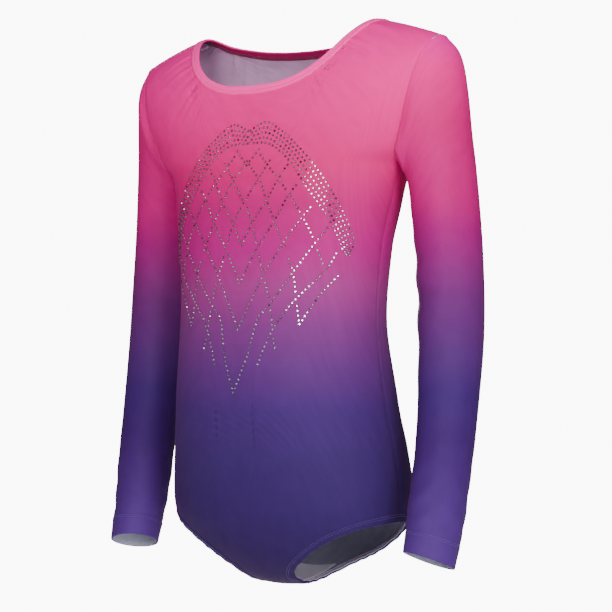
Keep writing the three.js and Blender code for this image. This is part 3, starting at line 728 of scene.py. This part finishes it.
def halfPanel(side):
    # points of the half on the wearer's left: columns from the middle out, rows from the top down
    p = panels
    neck = openingEdge(side, neckOutline[side], p["underBinding"])
    neck[0, 0] = 0
    start = body["neckHalfWidth"] + p["underBinding"]
    neck = neck[neck[:, 0] < start - 0.5]
    x = start + (body["tip"][0] - start) * np.linspace(0, 1, p["shoulderColumns"] + 1)
    shoulder = spineLine(x, shoulderLine(x))
    neck = resample(np.vstack([neck, shoulder[:1]]), easeEnd(np.linspace(0, 1, p["neckColumns"] + 1)))[:-1]
    xz = evenly(armholeOutline, easeBoth(np.linspace(0, 1, p["armholeColumns"] + 1)))[1:]
    armhole = bodyPoint(side, xz[:, 0], xz[:, 1])
    top = np.vstack([neck, shoulder, armhole])
    leg = openingEdge(side, legOutline[side], p["underHem"])
    turn = angleOf(side, leg)
    last = int(np.argmax(turn > np.pi / 2 - 0.03))
    last = last if last else len(leg) - 1
    foot = np.array([0.0, 0, leg[last, 2] + 0.3])
    foot[:2] = halfWidth(foot[2]), middleY(foot[2])
    x = leg[0, 0] * np.linspace(0, 1, p["crotchColumns"] + 1)[:-1]
    bottom = np.vstack([spineLine(x, crotchLine(x)), resample(
        np.vstack([leg[:last], foot]), np.linspace(0, 1, len(top) - p["crotchColumns"]))])
    down = rowShare(np.linspace(0, 1, p["rows"] + 1))
    z = top[:, 2:] + (bottom[:, 2:] - top[:, 2:]) * down
    ease = 1 - (1 - down) ** 2.5
    a0, a1 = np.maximum.accumulate(angleOf(side, top)), np.maximum.accumulate(angleOf(side, bottom))
    a0[-1] = a1[-1] = np.pi / 2
    x = widthAt(a0[:, None] + (a1 - a0)[:, None] * ease, z)
    x[:, 0], x[:, -1] = top[:, 0], bottom[:, 0]
    g = bodyPoint(side, x, z)
    g[:, 0], g[:, -1] = top, bottom
    g[-1] = spineLine(halfWidth(z[-1]), z[-1])
    return g


neckDense = neckEdge[0]
armholeDense = armholeEdge[0]


def clothRelief(side, g):
    # how far each point of a panel stands off the wearer's shape
    p = panels
    x, z = g[..., 0], g[..., 2]
    lift = 0.5 * waves(g, 11 if side < 0 else 12, 120)
    # folds running out from the neck binding at the shoulders
    gap, which = nearest(g, neckDense)
    along = lengthAlong(closeLoop(neckDense))[which]
    nearShoulder = smooth((np.abs(x) - 44) / 40)
    fade = np.exp(-((gap - 6) / 34) ** 2) * smooth((gap - 5) / 6)
    phase = along / (8.5 + 2.0 * np.sin(along / 23.0)) * 2 * np.pi
    lift += p["gather"] * nearShoulder * fade * (np.sin(phase) + 0.5 * np.sin(phase * 0.53 + 1.3)) / 1.3
    # drags towards the armhole
    gapArm, whichArm = nearest(np.stack([np.abs(x), g[..., 1], z], -1), armholeDense)
    alongArm = lengthAlong(closeLoop(armholeDense))[whichArm]
    drag = np.sin(alongArm / 10.0 + 2 * np.sin(alongArm / 31)) * smooth((gapArm - 2) / 6)
    lift += 0.35 * np.exp(-((gapArm - 8) / 18) ** 2) * drag
    if side < 0:
        # fine ripples slanting across the belly and drawing together above the near leg
        px, pz = x - 123, z + 557
        far = np.hypot(px, pz)
        turn = np.arctan2(px, pz) + 8e-6 * (far - 60) ** 2
        area = smooth((far - 55) / 40) * (1 - smooth((far - 190) / 70))
        area *= np.exp(-(((turn + 0.50) / 0.26) ** 4))
        beat = 0.6 + 0.4 * np.sin(far / 27.0 + turn * 11)
        lift += p["ripple"] * area * beat * np.sin(turn * 157 + 1.2 * np.sin(far / 33.0))
        nearHem = np.exp(-(((z + 500) / 60) ** 2 + ((np.abs(x) - 70) / 40) ** 2))
        lift += 0.35 * nearHem * waves(g, 17, 26)
    else:
        lift += 0.9 * smooth((gap - 4) / 20) * np.exp(-((gap - 30) / 46) ** 2) * waves(g, 21, 38)
        lift += 0.5 * waves(g, 23, 75) * smooth((-z - 200) / 120)
    # the seams pull the cloth in
    w = p["valleyWidth"]
    seamGap = np.minimum(np.abs(g[..., 1] - middleY(z)), gapArm)
    lift *= smooth(seamGap / 9)
    lift -= p["seamValley"] * np.exp(-(seamGap / w) ** 2)
    # and the leg hem holds it flat
    gapLeg, _ = nearest(np.stack([np.abs(x), g[..., 1], z], -1), legEdge[0][::3])
    lift *= smooth((gapLeg - 4) / 14) * 0.9 + 0.1
    return lift


def wholePanel(side):
    half = halfPanel(side)
    g = np.concatenate([half[1:][::-1] * mirrorX, half], 0)
    n = bodyNormal(g)
    lift = clothRelief(side, g)
    g = g + n * lift[..., None]
    smoothN = gridNormals(g, False, False, n)
    return g, smoothN


frontGrid, frontNormals = wholePanel(front)
backGrid, backNormals = wholePanel(back)
frontBody = shell("frontBody", frontGrid, frontNormals, panels["thickness"], [bodyKnit, insideKnit])
backBody = shell("backBody", backGrid, backNormals, panels["thickness"], [bodyKnit, insideKnit])
finishPiece(frontBody, "torso", ["front_body"])
finishPiece(backBody, "torso", ["back_body"])
print("panels made")


# bands folded over the edges: neck binding, leg hems

def bandSection(width, top, thickness, inside, stitches, groove):
    # the outer line of a folded band's section, as inward and out pairs, from the outside edge round
    # to the inside edge
    outside = np.linspace(width, 0.9, 26)
    out = np.full(26, float(top))
    for s in stitches:
        out -= groove * np.exp(-((outside - s) / 0.7) ** 2)
    out -= (top - 0.12) * np.exp(-((outside - width) / 0.5) ** 2)
    low = top - 2 * thickness - inside
    bend = np.linspace(0, np.pi, 9)[1:-1]
    middle, radius = (top + low) / 2, (top - low) / 2
    foldIn = 0.9 - np.sin(bend) * 0.9
    foldOut = middle + radius * np.cos(bend)
    inner = np.linspace(0.9, width, 14)
    return (np.concatenate([outside, foldIn, inner]),
            np.concatenate([out, foldOut, np.full(14, float(low))]))


def foldedBand(name, edge, section, thickness, materials, wobble=None):
    inward, out = section
    points = []
    for w, o in zip(inward, out):
        extra = 0 if wobble is None else wobble(w)
        points.append(walkBody(edge, np.full(len(edge[0]), w), o + extra))
    g = np.stack(points, 1)
    turn = gridNormals(g, True, False, np.zeros_like(g))
    # on the outside part the normal looks away from the body
    sign = np.sign(np.einsum("ik,ik->", turn[:, 4], bodyNormal(g[:, 4])))
    turn = turn * (sign if sign else 1)

    def look(shape):
        m = np.zeros(shape, int)
        # the inner leg of the fold takes the second finish: the knit's inside for the leg hems, and the
        # darker painted-shade copy of the binding knit for the neck
        m[:, 30:] = 1 if len(materials) > 2 else 0
        return m

    return shell(name, g, turn, thickness, materials, aroundI=True, inside=len(materials) - 1,
                 outsideOf=look)


binding = {
    "width": 9,
    "top": 1.35,
    "thickness": 0.8,
    "room": 1.6,
    "rows": (5.4, 8.0),  # where the twin stitching runs, from the folded edge
    "groove": 0.42,  # how deep the stitching sinks
    "stitchPitch": 3.0,
    "thread": 0.24,
}
# the binding's inner leg takes the darker painted-shade copy of its knit
neckBinding = foldedBand(
    "neckBinding", neckEdge,
    bandSection(binding["width"], binding["top"], binding["thickness"], binding["room"], binding["rows"],
                binding["groove"]),
    binding["thickness"], [bindingKnit, bindingInnerShade, bindingKnit])
finishPiece(neckBinding, "torso", ["neck_binding"])


def rowOn(edge, inward, out):
    p = walkBody(edge, np.full(len(edge[0]), float(inward)), out)
    n = bodyNormal(ontoBody(p))
    return closeLoop(p), closeLoop(n)


def stitchRows(edge, rows, out, pitch, share=0.72):
    runs = []
    for inward in rows:
        p, n = rowOn(edge, inward, out)
        runs.append(runOf(p, n, pitch, share))
    return joined(*runs)


neckStitches = stitchMesh(
    "neckStitches",
    *stitchRows(neckEdge, binding["rows"], binding["top"] - binding["groove"], binding["stitchPitch"]),
    binding["thread"], pinkThread)
finishPiece(neckStitches, "torso")
innerOut = binding["top"] - 2 * binding["thickness"] - binding["room"]
a, n = rowOn(neckEdge, binding["rows"][0], innerOut)
b, _ = rowOn(neckEdge, binding["rows"][1], innerOut)
neckCover = stitchMesh(
    "neckCoverStitches", *joined(zigzagOf(a, b, -n, 1.6), runOf(a, -n, 2.2, 0.8), runOf(b, -n, 2.2, 0.8)),
    0.26, darkThread)
finishPiece(neckCover, "torso")
print("neck made")

hem = {
    "width": 9.4,
    "top": 0.35,
    "thickness": 0.85,
    "room": 1.5,
    "rows": (6.0, 8.2),
    "stitchPitch": 3.0,
    "thread": 0.22,
    "groove": 0.18,
    "ruffle": 0.35,  # the elastic draws the edge into small waves
}
for label, edge in (("left", legEdge), ("right", flip(legEdge))):
    along = lengthAlong(closeLoop(edge[0]))[:-1]
    whole = lengthAlong(closeLoop(edge[0]))[-1]
    waveCount = round(whole / 15)
    wave = np.sin(along / whole * 2 * np.pi * waveCount + 1.5 * np.sin(along / whole * 2 * np.pi * 5))

    def wobble(w, wave=wave):
        return hem["ruffle"] * wave * (1 - w / hem["width"]) ** 0.7

    section = bandSection(
        hem["width"], hem["top"], hem["thickness"], hem["room"], hem["rows"], hem["groove"])
    piece = foldedBand(f"{label}LegHem", edge, section, hem["thickness"], [bodyKnit, insideKnit, insideKnit],
                       wobble)
    finishPiece(piece, "torso", [f"{label}_leg_hem"])
    stitches = stitchMesh(
        f"{label}LegStitches", *stitchRows(edge, hem["rows"], hem["top"] - 0.16, hem["stitchPitch"]),
        hem["thread"], violetThread)
    finishPiece(stitches, "torso")
    innerOut = hem["top"] - 2 * hem["thickness"] - hem["room"]
    a, n = rowOn(edge, hem["rows"][0], innerOut)
    b, _ = rowOn(edge, hem["rows"][1], innerOut)
    cover = stitchMesh(f"{label}LegCoverStitches",
                       *joined(zigzagOf(a, b, -n, 1.8), runOf(a, -n, 2.4, 0.8)), 0.24, paleThread)
    finishPiece(cover, "torso")
    # elastic tape lying in the fold
    tapeTop = hem["top"] - hem["thickness"] - 0.35
    tape = np.stack([walkBody(edge, np.full(len(edge[0]), w), tapeTop) for w in np.linspace(1.6, 7.4, 7)], 1)
    tapeNormals = gridNormals(tape, True, False, bodyNormal(tape))
    band = shell(f"{label}LegElastic", tape, tapeNormals, 0.8, [elasticFinish], aroundI=True, inside=0)
    finishPiece(band, "torso", [f"{label}_leg_elastic"])
print("leg hems made")


# seam allowances on the inside, overlocked

allowance = {"start": 0.8, "width": 5, "thickness": 0.8, "hiddenDepth": 2.9, "pitch": 1.9, "thread": 0.24}


def bodySeam(name, line, node, thread, away, closed=False, depth=1.9):
    # a narrow strip lying on the inside of a seam line, with thread wrapped over its edge
    n = bodyNormal(line)
    tangent = np.gradient(line, axis=0) if not closed else np.roll(line, -1, 0) - np.roll(line, 1, 0)
    into = unit(np.cross(n, tangent))
    if (into * away).sum() < 0:
        into = -into
    edge = (line, into)
    d = allowance
    across = np.linspace(d["start"], d["width"], 6)
    g = np.stack([walkBody(edge, np.full(len(line), w), -depth) for w in across], 1)
    normals = gridNormals(g, closed, False, bodyNormal(g))
    strip = shell(name, g, normals, d["thickness"], [insideKnit], aroundI=closed, inside=0)
    finishPiece(strip, "torso", [node])
    low = -depth - d["thickness"] - 0.05
    a = walkBody(edge, np.full(len(line), 1.6), low)
    b = walkBody(edge, np.full(len(line), d["width"] + 0.1), low)
    if closed:
        a, b, n = closeLoop(a), closeLoop(b), closeLoop(n)
    threads = stitchMesh(f"{name}Thread", *joined(zigzagOf(a, b, -n, d["pitch"]), runOf(a, -n, 2.4, 0.85)),
                         d["thread"], thread)
    finishPiece(threads, "torso")


toBack = np.array([0, 1.0, 0])
for label, sign in (("left", 1), ("right", -1)):
    x = np.linspace(body["neckHalfWidth"] + 11, body["tip"][0] - 8, 40)
    line = spineLine(x, shoulderLine(x)) * (sign, 1, 1)
    bodySeam(f"{label}ShoulderSeam", line, f"{label}_shoulder_seam", paleThread, toBack,
             depth=allowance["hiddenDepth"])
    z = np.linspace(body["underarm"][1] - 8, -503 + 13, 160)
    line = spineLine(halfWidth(z), z) * (sign, 1, 1)
    bodySeam(f"{label}SideSeam", line, f"{label}_side_seam", paleThread, toBack)
    line = armholeEdge[0] if sign > 0 else flip(armholeEdge)[0]
    centre = line.mean(0)
    topLine = line + bodyNormal(line) * (-panels["seamValley"] + 0.15)
    drawn = stitchMesh(f"{label}ArmholeThread",
                       *runOf(closeLoop(topLine), closeLoop(bodyNormal(line)), 2.6, 0.7), 0.24, pinkThread)
    finishPiece(drawn, "torso")
    bodySeam(f"{label}ArmholeSeam", line, f"{label}_armhole_seam", paleThread, line - centre,
             closed=True, depth=allowance["hiddenDepth"])

# the crotch: its seam, and the small lining over it
lining = {"halfWidth": 17, "halfLength": 56, "depth": 2.6, "thickness": 0.8}
x = np.linspace(-19, 19, 30)
line = spineLine(x, crotchLine(x))
bodySeam("crotchSeam", line, "crotch_seam", violetThread, toBack)
x = np.linspace(-1, 1, 30)
d = np.linspace(-lining["halfLength"], lining["halfLength"], 60)
columns = []
for s in x:
    # the lining narrows at the crotch, between the leg openings
    px = s * lining["halfWidth"]
    start = spineLine(np.full(len(d), px), crotchLine(np.full(len(d), px)))
    flare = 1 + 0.8 * (np.abs(d) / lining["halfLength"]) ** 1.5
    start[:, 0] = px * flare
    start[:, 2] = crotchLine(start[:, 0])
    start[:, 1] = middleY(start[:, 2])
    q = ontoBody(start + toBack * d[:, None])
    columns.append(q - bodyNormal(q) * lining["depth"])
g = np.stack(columns, 0)
liningNormals = gridNormals(g, False, False, bodyNormal(g))
crotchLining = shell("crotchLining", g, liningNormals, lining["thickness"], [liningKnit], inside=0)
finishPiece(crotchLining, "torso", ["crotch_lining"])
print("seams made")


# sleeves

sleeves = {
    "around": 128,
    "rows": 230,
    "thickness": 0.9,
    "meet": 0.535,  # where the upper and lower pieces of the sleeve meet, above the elbow
    "fold": 0.9,
    "elbowFold": 1.1,
    "valley": 0.55,
}


def ringAt(u):
    ox, od, ix, id_, y, depth = np.moveaxis(spline(sleeveRings, u), -1, 0)
    top, length = body["tip"][1], sleeve["length"]
    return ox, top - od * length, ix, top - id_ * length, y, depth


def ringPoint(u, angle):
    ox, oz, ix, iz, y, depth = ringAt(u)
    c = np.cos(angle)
    off = -depth * np.sin(angle)
    tilt = sleeve["cuffTilt"] * smooth((u - sleeve["elbow"]) / (1 - sleeve["elbow"]))
    x = (ox + ix) / 2 + (ox - ix) / 2 * c
    z = (oz + iz) / 2 + (oz - iz) / 2 * c - tilt * off
    return np.stack([x, y + off, z], -1)


def armholePoint(angle):
    turn = np.mod(angle, 2 * np.pi)
    xz = evenly(armholeOutline, (1 - np.cos(turn)) / 2)
    return bodyPoint(np.where(turn <= np.pi, front, back), xz[..., 0], xz[..., 1])


def sleevePoint(u, angle):
    u, angle = np.broadcast_arrays(np.asarray(u, float), np.asarray(angle, float))
    follow = (1 - smooth(u / sleeve["armholeReach"]))[..., None]
    ring = angle[0] if angle.ndim > 1 else angle
    shift = armholePoint(ring) - ringPoint(np.zeros(angle.shape[-1]), ring)
    return ringPoint(u, angle) + follow * shift


nearEnd = np.array([0.98, 1.0])
centres = (ringPoint(nearEnd, np.zeros(2)) + ringPoint(nearEnd, np.full(2, np.pi))) / 2
uPerMm = 0.02 / np.linalg.norm(centres[1] - centres[0])
turns = np.linspace(0, 2 * np.pi, sleeves["around"], endpoint=False)


def sleeveRelief(g, u, angle):
    s = sleeves
    rows = u[:, None] + 0 * angle[None]
    turn = angle[None] + 0 * u[:, None]
    lift = s["fold"] * 0.6 * waves(g * np.array([1, 1, 0.35]), 31, 46) * smooth(rows / 0.08)
    # creases across the inside of the elbow, fanning out and fading round the arm
    bend = sleeve["elbow"] - 0.02
    inner = np.maximum(0, np.cos(turn - np.pi * 0.80)) ** 1.5
    nearBend = np.exp(-((rows - bend) / 0.10) ** 2)
    lift += s["elbowFold"] * inner * nearBend * np.sin((rows - bend) * 88 + 2.2 * np.cos(turn + 0.5))
    # slack above the cuff and drags at the underarm
    lift += 0.7 * np.exp(-((rows - 0.90) / 0.07) ** 2) * np.sin(rows * 130 + 3 * np.sin(turn * 2)) * 0.6
    under = np.maximum(0, -np.cos(turn)) ** 2
    lift += 1.1 * under * np.exp(-((rows - 0.12) / 0.10) ** 2) * np.sin(turn * 9 + rows * 20)
    lift *= smooth(rows / 0.03)
    lift -= s["valley"] * np.exp(-(rows / uPerMm / 2.4) ** 2)
    # the sleeve's own seam down the underarm line
    fromSeam = np.abs(np.angle(np.exp(1j * (turn - np.pi)))) * 32
    lift -= 0.4 * np.exp(-(fromSeam / 1.6) ** 2)
    hemAt = 1 - 24 * uPerMm
    lift *= 1 - 0.85 * smooth((rows - hemAt + 10 * uPerMm) / (10 * uPerMm))
    return lift


def sleeveGrid(fromU, toU, rows):
    u = np.linspace(fromU, toU, rows)
    g = sleevePoint(u[:, None], turns[None] + 0 * u[:, None])
    centre = g.mean(1, keepdims=True)
    n = gridNormals(g, False, True, g - centre)
    g = g + n * sleeveRelief(g, u, turns)[..., None]
    return g, gridNormals(g, False, True, g - centre), u


def mirrorGrid(g, n):
    return g * mirrorX, n * mirrorX


cuff = {
    "depth": 22,
    "turn": 22.6,  # the turned-in cloth reaches a little past the hem line
    "top": 0.3,
    "thickness": 0.8,
    "fold": 0.85,
    "room": 0.5,
    "rows": (19.4, 21.4),
    "groove": 0.16,
    "stitchPitch": 3.0,
    "thread": 0.22,
}
hemU = 1 - cuff["depth"] * uPerMm
fullGrid, fullNormals, fullU = sleeveGrid(0, hemU + uPerMm, sleeves["rows"])
meetRow = int(np.argmin(np.abs(fullU - sleeves["meet"])))
for label, sign in (("left", 1), ("right", -1)):
    g, n = (fullGrid, fullNormals) if sign > 0 else mirrorGrid(fullGrid, fullNormals)
    uv = np.stack(np.broadcast_arrays(turns[None] * 32, fullU[:, None] / uPerMm), -1)
    upper = shell(f"{label}UpperSleeve", g[:meetRow + 1], n[:meetRow + 1], sleeves["thickness"],
                  [sleeveKnit, insideKnit], aroundJ=True, uv=uv[:meetRow + 1])
    lower = shell(f"{label}ForearmSleeve", g[meetRow:], n[meetRow:], sleeves["thickness"],
                  [sleeveKnit, insideKnit], aroundJ=True, uv=uv[meetRow:])
    shoulderBlend = ("torso", f"{label}_upper_arm", (sign * 0.168, 0, -0.055), (sign * 0.2014, 0, -0.0657))
    elbowBlend = (f"{label}_upper_arm", f"{label}_forearm",
                  (sign * 0.178, 0, -0.262), (sign * 0.178, 0, -0.318))
    finishPiece(upper, shoulderBlend, [f"{label}_upper_sleeve"])
    finishPiece(lower, elbowBlend, [f"{label}_forearm_sleeve"])

    def sleeveWalk(inward, out, sign=sign):
        # from the cuff's edge up the sleeve, and off the cloth
        u = np.full((3, 1), 1 - inward * uPerMm) + np.array([[-0.003], [0], [0.003]])
        p = sleevePoint(u, turns[None] + 0 * u)
        normal = gridNormals(p, False, True, p - p.mean(1, keepdims=True))[1]
        q = p[1] + normal * np.asarray(out, float)[..., None]
        return (q, normal) if sign > 0 else (q * mirrorX, normal * mirrorX)

    # the cuff: its end turned up inside and caught down by twin stitching
    section = bandSection(
        cuff["turn"], cuff["top"], cuff["fold"], cuff["room"], cuff["rows"], cuff["groove"])
    flareOut = 0.5 * np.sin(turns * 3 + 0.6)
    band = np.stack([sleeveWalk(w, o + flareOut * max(0, 1 - w / 18))[0] for w, o in zip(*section)], 1)
    bandNormals = gridNormals(band, True, False, np.zeros_like(band))
    if ((band[:, 4] - band.mean((0, 1))) * bandNormals[:, 4]).sum() < 0:
        bandNormals = -bandNormals

    def cuffLook(shape):
        m = np.zeros(shape, int)
        m[:, 32:] = 1
        return m

    piece = shell(f"{label}Cuff", band, bandNormals, cuff["thickness"], [sleeveKnit, insideKnit],
                  aroundI=True, outsideOf=cuffLook)
    finishPiece(piece, f"{label}_forearm", [f"{label}_cuff_hem"])
    runs = []
    for w in cuff["rows"]:
        p, normal = sleeveWalk(w, cuff["top"] - 0.1)
        runs.append(runOf(closeLoop(p), closeLoop(normal), cuff["stitchPitch"], 0.72))
    stitches = stitchMesh(f"{label}CuffStitches", *joined(*runs), cuff["thread"], violetThread)
    finishPiece(stitches, f"{label}_forearm")
    low = cuff["top"] - 2 * cuff["fold"] - cuff["room"]
    (p, normal), (q, _) = (sleeveWalk(w, low) for w in cuff["rows"])
    cover = stitchMesh(f"{label}CuffCoverStitches",
                       *zigzagOf(closeLoop(p), closeLoop(q), -closeLoop(normal), 1.8),
                       cuff["thread"], violetThread)
    finishPiece(cover, f"{label}_forearm")

    # the seam allowance inside, down the underarm line
    for part, fromU, toU, nodes, blend, material, slot in (
        ("Upper", 0.085, fullU[meetRow], [f"{label}_upper_sleeve_seam"], shoulderBlend, paleThread,
         "overlock_thread"),
        ("Forearm", fullU[meetRow], hemU, [f"{label}_forearm_sleeve_seam"], elbowBlend, violetThread,
         "violet_thread"),
    ):
        u = np.linspace(fromU, toU, 90)
        stripAngles = np.pi + np.linspace(0.02, 0.16, 6)
        base = sleevePoint(u[:, None], stripAngles[None] + 0 * u[:, None])
        near = np.stack([np.interp(u, fullU, fullGrid.mean(1)[:, k]) for k in range(3)], -1)
        normal = gridNormals(base, False, False, base - near[:, None])
        strip = base - normal * 1.8
        threadA, threadB = base[:, 1] - normal[:, 1] * 2.8, base[:, -1] - normal[:, -1] * 2.8
        if sign < 0:
            strip, normal, threadA, threadB = (v * mirrorX for v in (strip, normal, threadA, threadB))
        piece = shell(f"{label}{part}SleeveSeam", strip, normal, 0.9, [insideKnit], inside=0)
        finishPiece(piece, blend, nodes)
        threads = stitchMesh(f"{label}{part}SleeveSeamThread", *joined(
            zigzagOf(threadA, threadB, -normal[:, 2], 1.9),
            runOf(threadA, -normal[:, 2], 2.4, 0.85)), 0.22, material)
        finishPiece(threads, blend)
print("sleeves made")


# stones on the chest

stones = {
    "radius": 1.2,
    "height": 0.85,
    "pitch": 4.7,
    "bandRows": 5,
    "tooClose": 3.0,  # a stone this near another is left out
    "bandClose": 2.7,
    "sides": 8,
}
rising = [
    [(0, -148), (13, -133)],
    [(0, -186), (14, -164), (27, -145)],
    [(0, -228), (11, -207), (25, -186), (38, -163), (47, -150)],
    [(0, -266), (17, -234), (36, -205), (49, -181), (57, -171)],
    [(0, -312), (27, -259), (48, -225), (65, -202), (72, -193)],
    [(0, -374), (14, -337), (22, -303), (35, -287), (57, -257), (79, -225), (87, -213)],
    [(26, -346), (39, -313), (57, -287), (84, -257), (94, -238)],
    [(65, -307), (80, -281), (95, -260)],
]
falling = [
    [(0, -183), (12, -210), (20, -236), (28, -261), (35, -287), (40, -317), (43, -330)],
    [(0, -144), (17, -165), (26, -184), (39, -211), (48, -231)],
    [(13, -135), (28, -153), (40, -166), (54, -185), (63, -199), (73, -218), (82, -243), (86, -257)],
    [(53, -243), (58, -259), (62, -289), (65, -308)],
]
bandOuter = [
    (1.5, -113), (20, -106), (40, -117), (59, -134), (76, -154), (90, -177), (100, -200), (106, -225),
    (103, -240),
]
bandInner = [
    (1.5, -126), (22, -127), (38, -136), (52, -150), (64, -168), (77, -186), (88, -204), (96, -224),
    (99, -238),
]


def onFront(xz):
    return bodyPoint(front, xz[:, 0], xz[:, 1])


def spacedStones(points, offset=0.0):
    fine = onFront(evenly(points, np.linspace(0, 1, 400)))
    along = lengthAlong(fine)
    count = max(1, round(along[-1] / stones["pitch"]))
    at = (np.arange(count + 1) + offset) * along[-1] / count
    at = at[at <= along[-1] + 0.01]
    return np.stack([np.interp(at, along, fine[:, k]) for k in range(3)], -1)


places = []


def placeStones(candidates, gap):
    for p in candidates:
        for q in (p, p * mirrorX):
            if not places or ((np.array(places) - q) ** 2).sum(1).min() > gap * gap:
                places.append(q)


rows = stones["bandRows"]
for k in range(rows):
    t = k / (rows - 1)
    line = np.array(bandOuter) * (1 - t) + np.array(bandInner) * t
    placeStones(spacedStones(line, 0.5 * (k % 2)), stones["bandClose"])
for line in rising + falling:
    placeStones(spacedStones(line), stones["tooClose"])
centre = ontoBody(np.array(places))
# sit each stone on the cloth as it is lifted there
flatFront = frontGrid.reshape(-1, 3)
for a in range(0, len(centre), 100):
    d = ((centre[a:a + 100, None] - flatFront[None, ::3]) ** 2).sum(2).argmin(1)
    near = flatFront[::3][d]
    n = bodyNormal(centre[a:a + 100])
    centre[a:a + 100] += n * ((near - centre[a:a + 100]) * n).sum(1)[:, None]
normal = bodyNormal(centre)
sideways = unit(np.cross(normal, np.array([0, 0, 1.0])))
upwards = np.cross(sideways, normal)
sides = stones["sides"]
spin = np.random.default_rng(5).uniform(0, 2 * np.pi, len(centre))[:, None]
rings = []
for radius, height in ((1.0, 0.0), (1.0, 0.3), (0.86, 0.52), (0.60, 1.0)):
    angles = np.linspace(0, 2 * np.pi, sides, endpoint=False)[None] + spin
    rings.append(centre[:, None] + stones["radius"] * radius * (
        sideways[:, None] * np.cos(angles)[..., None] + upwards[:, None] * np.sin(angles)[..., None])
        + normal[:, None] * stones["height"] * height)
points = np.concatenate(rings + [(centre + normal * stones["height"])[:, None]], 1)
each = points.shape[1]
one, which = [], []
for r in range(3):
    for k in range(sides):
        m = (k + 1) % sides
        quad = (r * sides + k, r * sides + m, (r + 1) * sides + m, (r + 1) * sides + k)
        one += [(quad[0], quad[1], quad[2]), (quad[0], quad[2], quad[3])]
        which += [1, 1] if r < 2 or k % 4 else [0, 0]
for k in range(sides):
    one.append((3 * sides + k, 3 * sides + (k + 1) % sides, 4 * sides))
    which.append(0)
for k in range(1, sides - 1):
    one.append((0, k + 1, k))
    which.append(1)
triangles = (np.array(one)[None] + (np.arange(len(centre)) * each)[:, None, None]).reshape(-1, 3)
stoneMesh = makeMesh("stones", points.reshape(-1, 3), triangles, [stoneTable, stoneRim],
                     np.tile(which, len(centre)), flat=True)
finishPiece(stoneMesh, "torso", ["stone_lattice", "left_stone_band", "right_stone_band"])
print("stones made:", len(centre))


# setting, light and camera

studio = {
    "floor": -0.95,
    "key": 44.0,
    "side": 32.0,
    "low": 9.0,
    "rear": 55.0,
    "sky": 0.13,
    "backdrop": 10.0,  # how bright the floor and the space behind look
}


def areaLight(name, place, size, power, aim=(0, 0, -0.28)):
    data = bpy.data.lights.new(name, "AREA")
    data.shape = "RECTANGLE"
    data.size, data.size_y = size
    data.energy = power
    obj = bpy.data.objects.new(name, data)
    obj.location = place
    way = np.array(aim) - np.array(place)
    obj.rotation_euler = Vector(way).to_track_quat("-Z", "Y").to_euler()
    bpy.context.scene.collection.objects.link(obj)
    return obj


floorMesh = bpy.data.meshes.new("floor")
corners = [(x, y, studio["floor"]) for x, y in ((-8, -8), (8, -8), (8, 8), (-8, 8))]
floorMesh.from_pydata(corners, [], [(0, 1, 2, 3)])
floorMat, nodes, links, shader = newMaterial("floor", 0.9)
shader.inputs["Base Color"].default_value = (0.93, 0.93, 0.93, 1)
shader.inputs["Emission Color"].default_value = (1, 1, 1, 1)
seen = nodes.new("ShaderNodeLightPath").outputs["Is Camera Ray"]
glow = nodes.new("ShaderNodeMath")
glow.operation = "MULTIPLY"
glow.inputs[1].default_value = studio["backdrop"]
links.new(seen, glow.inputs[0])
links.new(glow.outputs[0], shader.inputs["Emission Strength"])
floorMesh.materials.append(floorMat)
floor = bpy.data.objects.new("floor", floorMesh)
bpy.context.scene.collection.objects.link(floor)

world = bpy.data.worlds.new("studio")
world.use_nodes = True
nodes, links = world.node_tree.nodes, world.node_tree.links
nodes["Background"].inputs["Color"].default_value = (1, 1, 1, 1)
seen = nodes.new("ShaderNodeLightPath").outputs["Is Camera Ray"]
glow = nodes.new("ShaderNodeMapRange")
glow.inputs["To Min"].default_value = studio["sky"]
glow.inputs["To Max"].default_value = studio["backdrop"]
links.new(seen, glow.inputs["Value"])
links.new(glow.outputs["Result"], nodes["Background"].inputs["Strength"])
bpy.context.scene.world = world
areaLight("key", (0.5, -1.98, 0.35), (0.8, 0.8), studio["key"])
areaLight("side", (1.55, -1.1, 0.3), (0.7, 1.2), studio["side"])
areaLight("rear", (-1.15, 1.75, 0.4), (1.2, 1.2), studio["rear"])
areaLight("low", (1.6, -0.75, -0.7), (1.0, 0.6), studio["low"], aim=(0, 0, -0.45))

camera = bpy.data.cameras.new("camera")
camera.lens = 102.3
camera.sensor_width = 36
camera.shift_x, camera.shift_y = 0.0229, 0.088
view = bpy.data.objects.new("camera", camera)
turn = math.radians(33)
view.location = (1.8 * math.sin(turn), -1.8 * math.cos(turn), -0.3416)
view.rotation_euler = (math.radians(90), 0, turn)
bpy.context.scene.collection.objects.link(view)
bpy.context.scene.camera = view
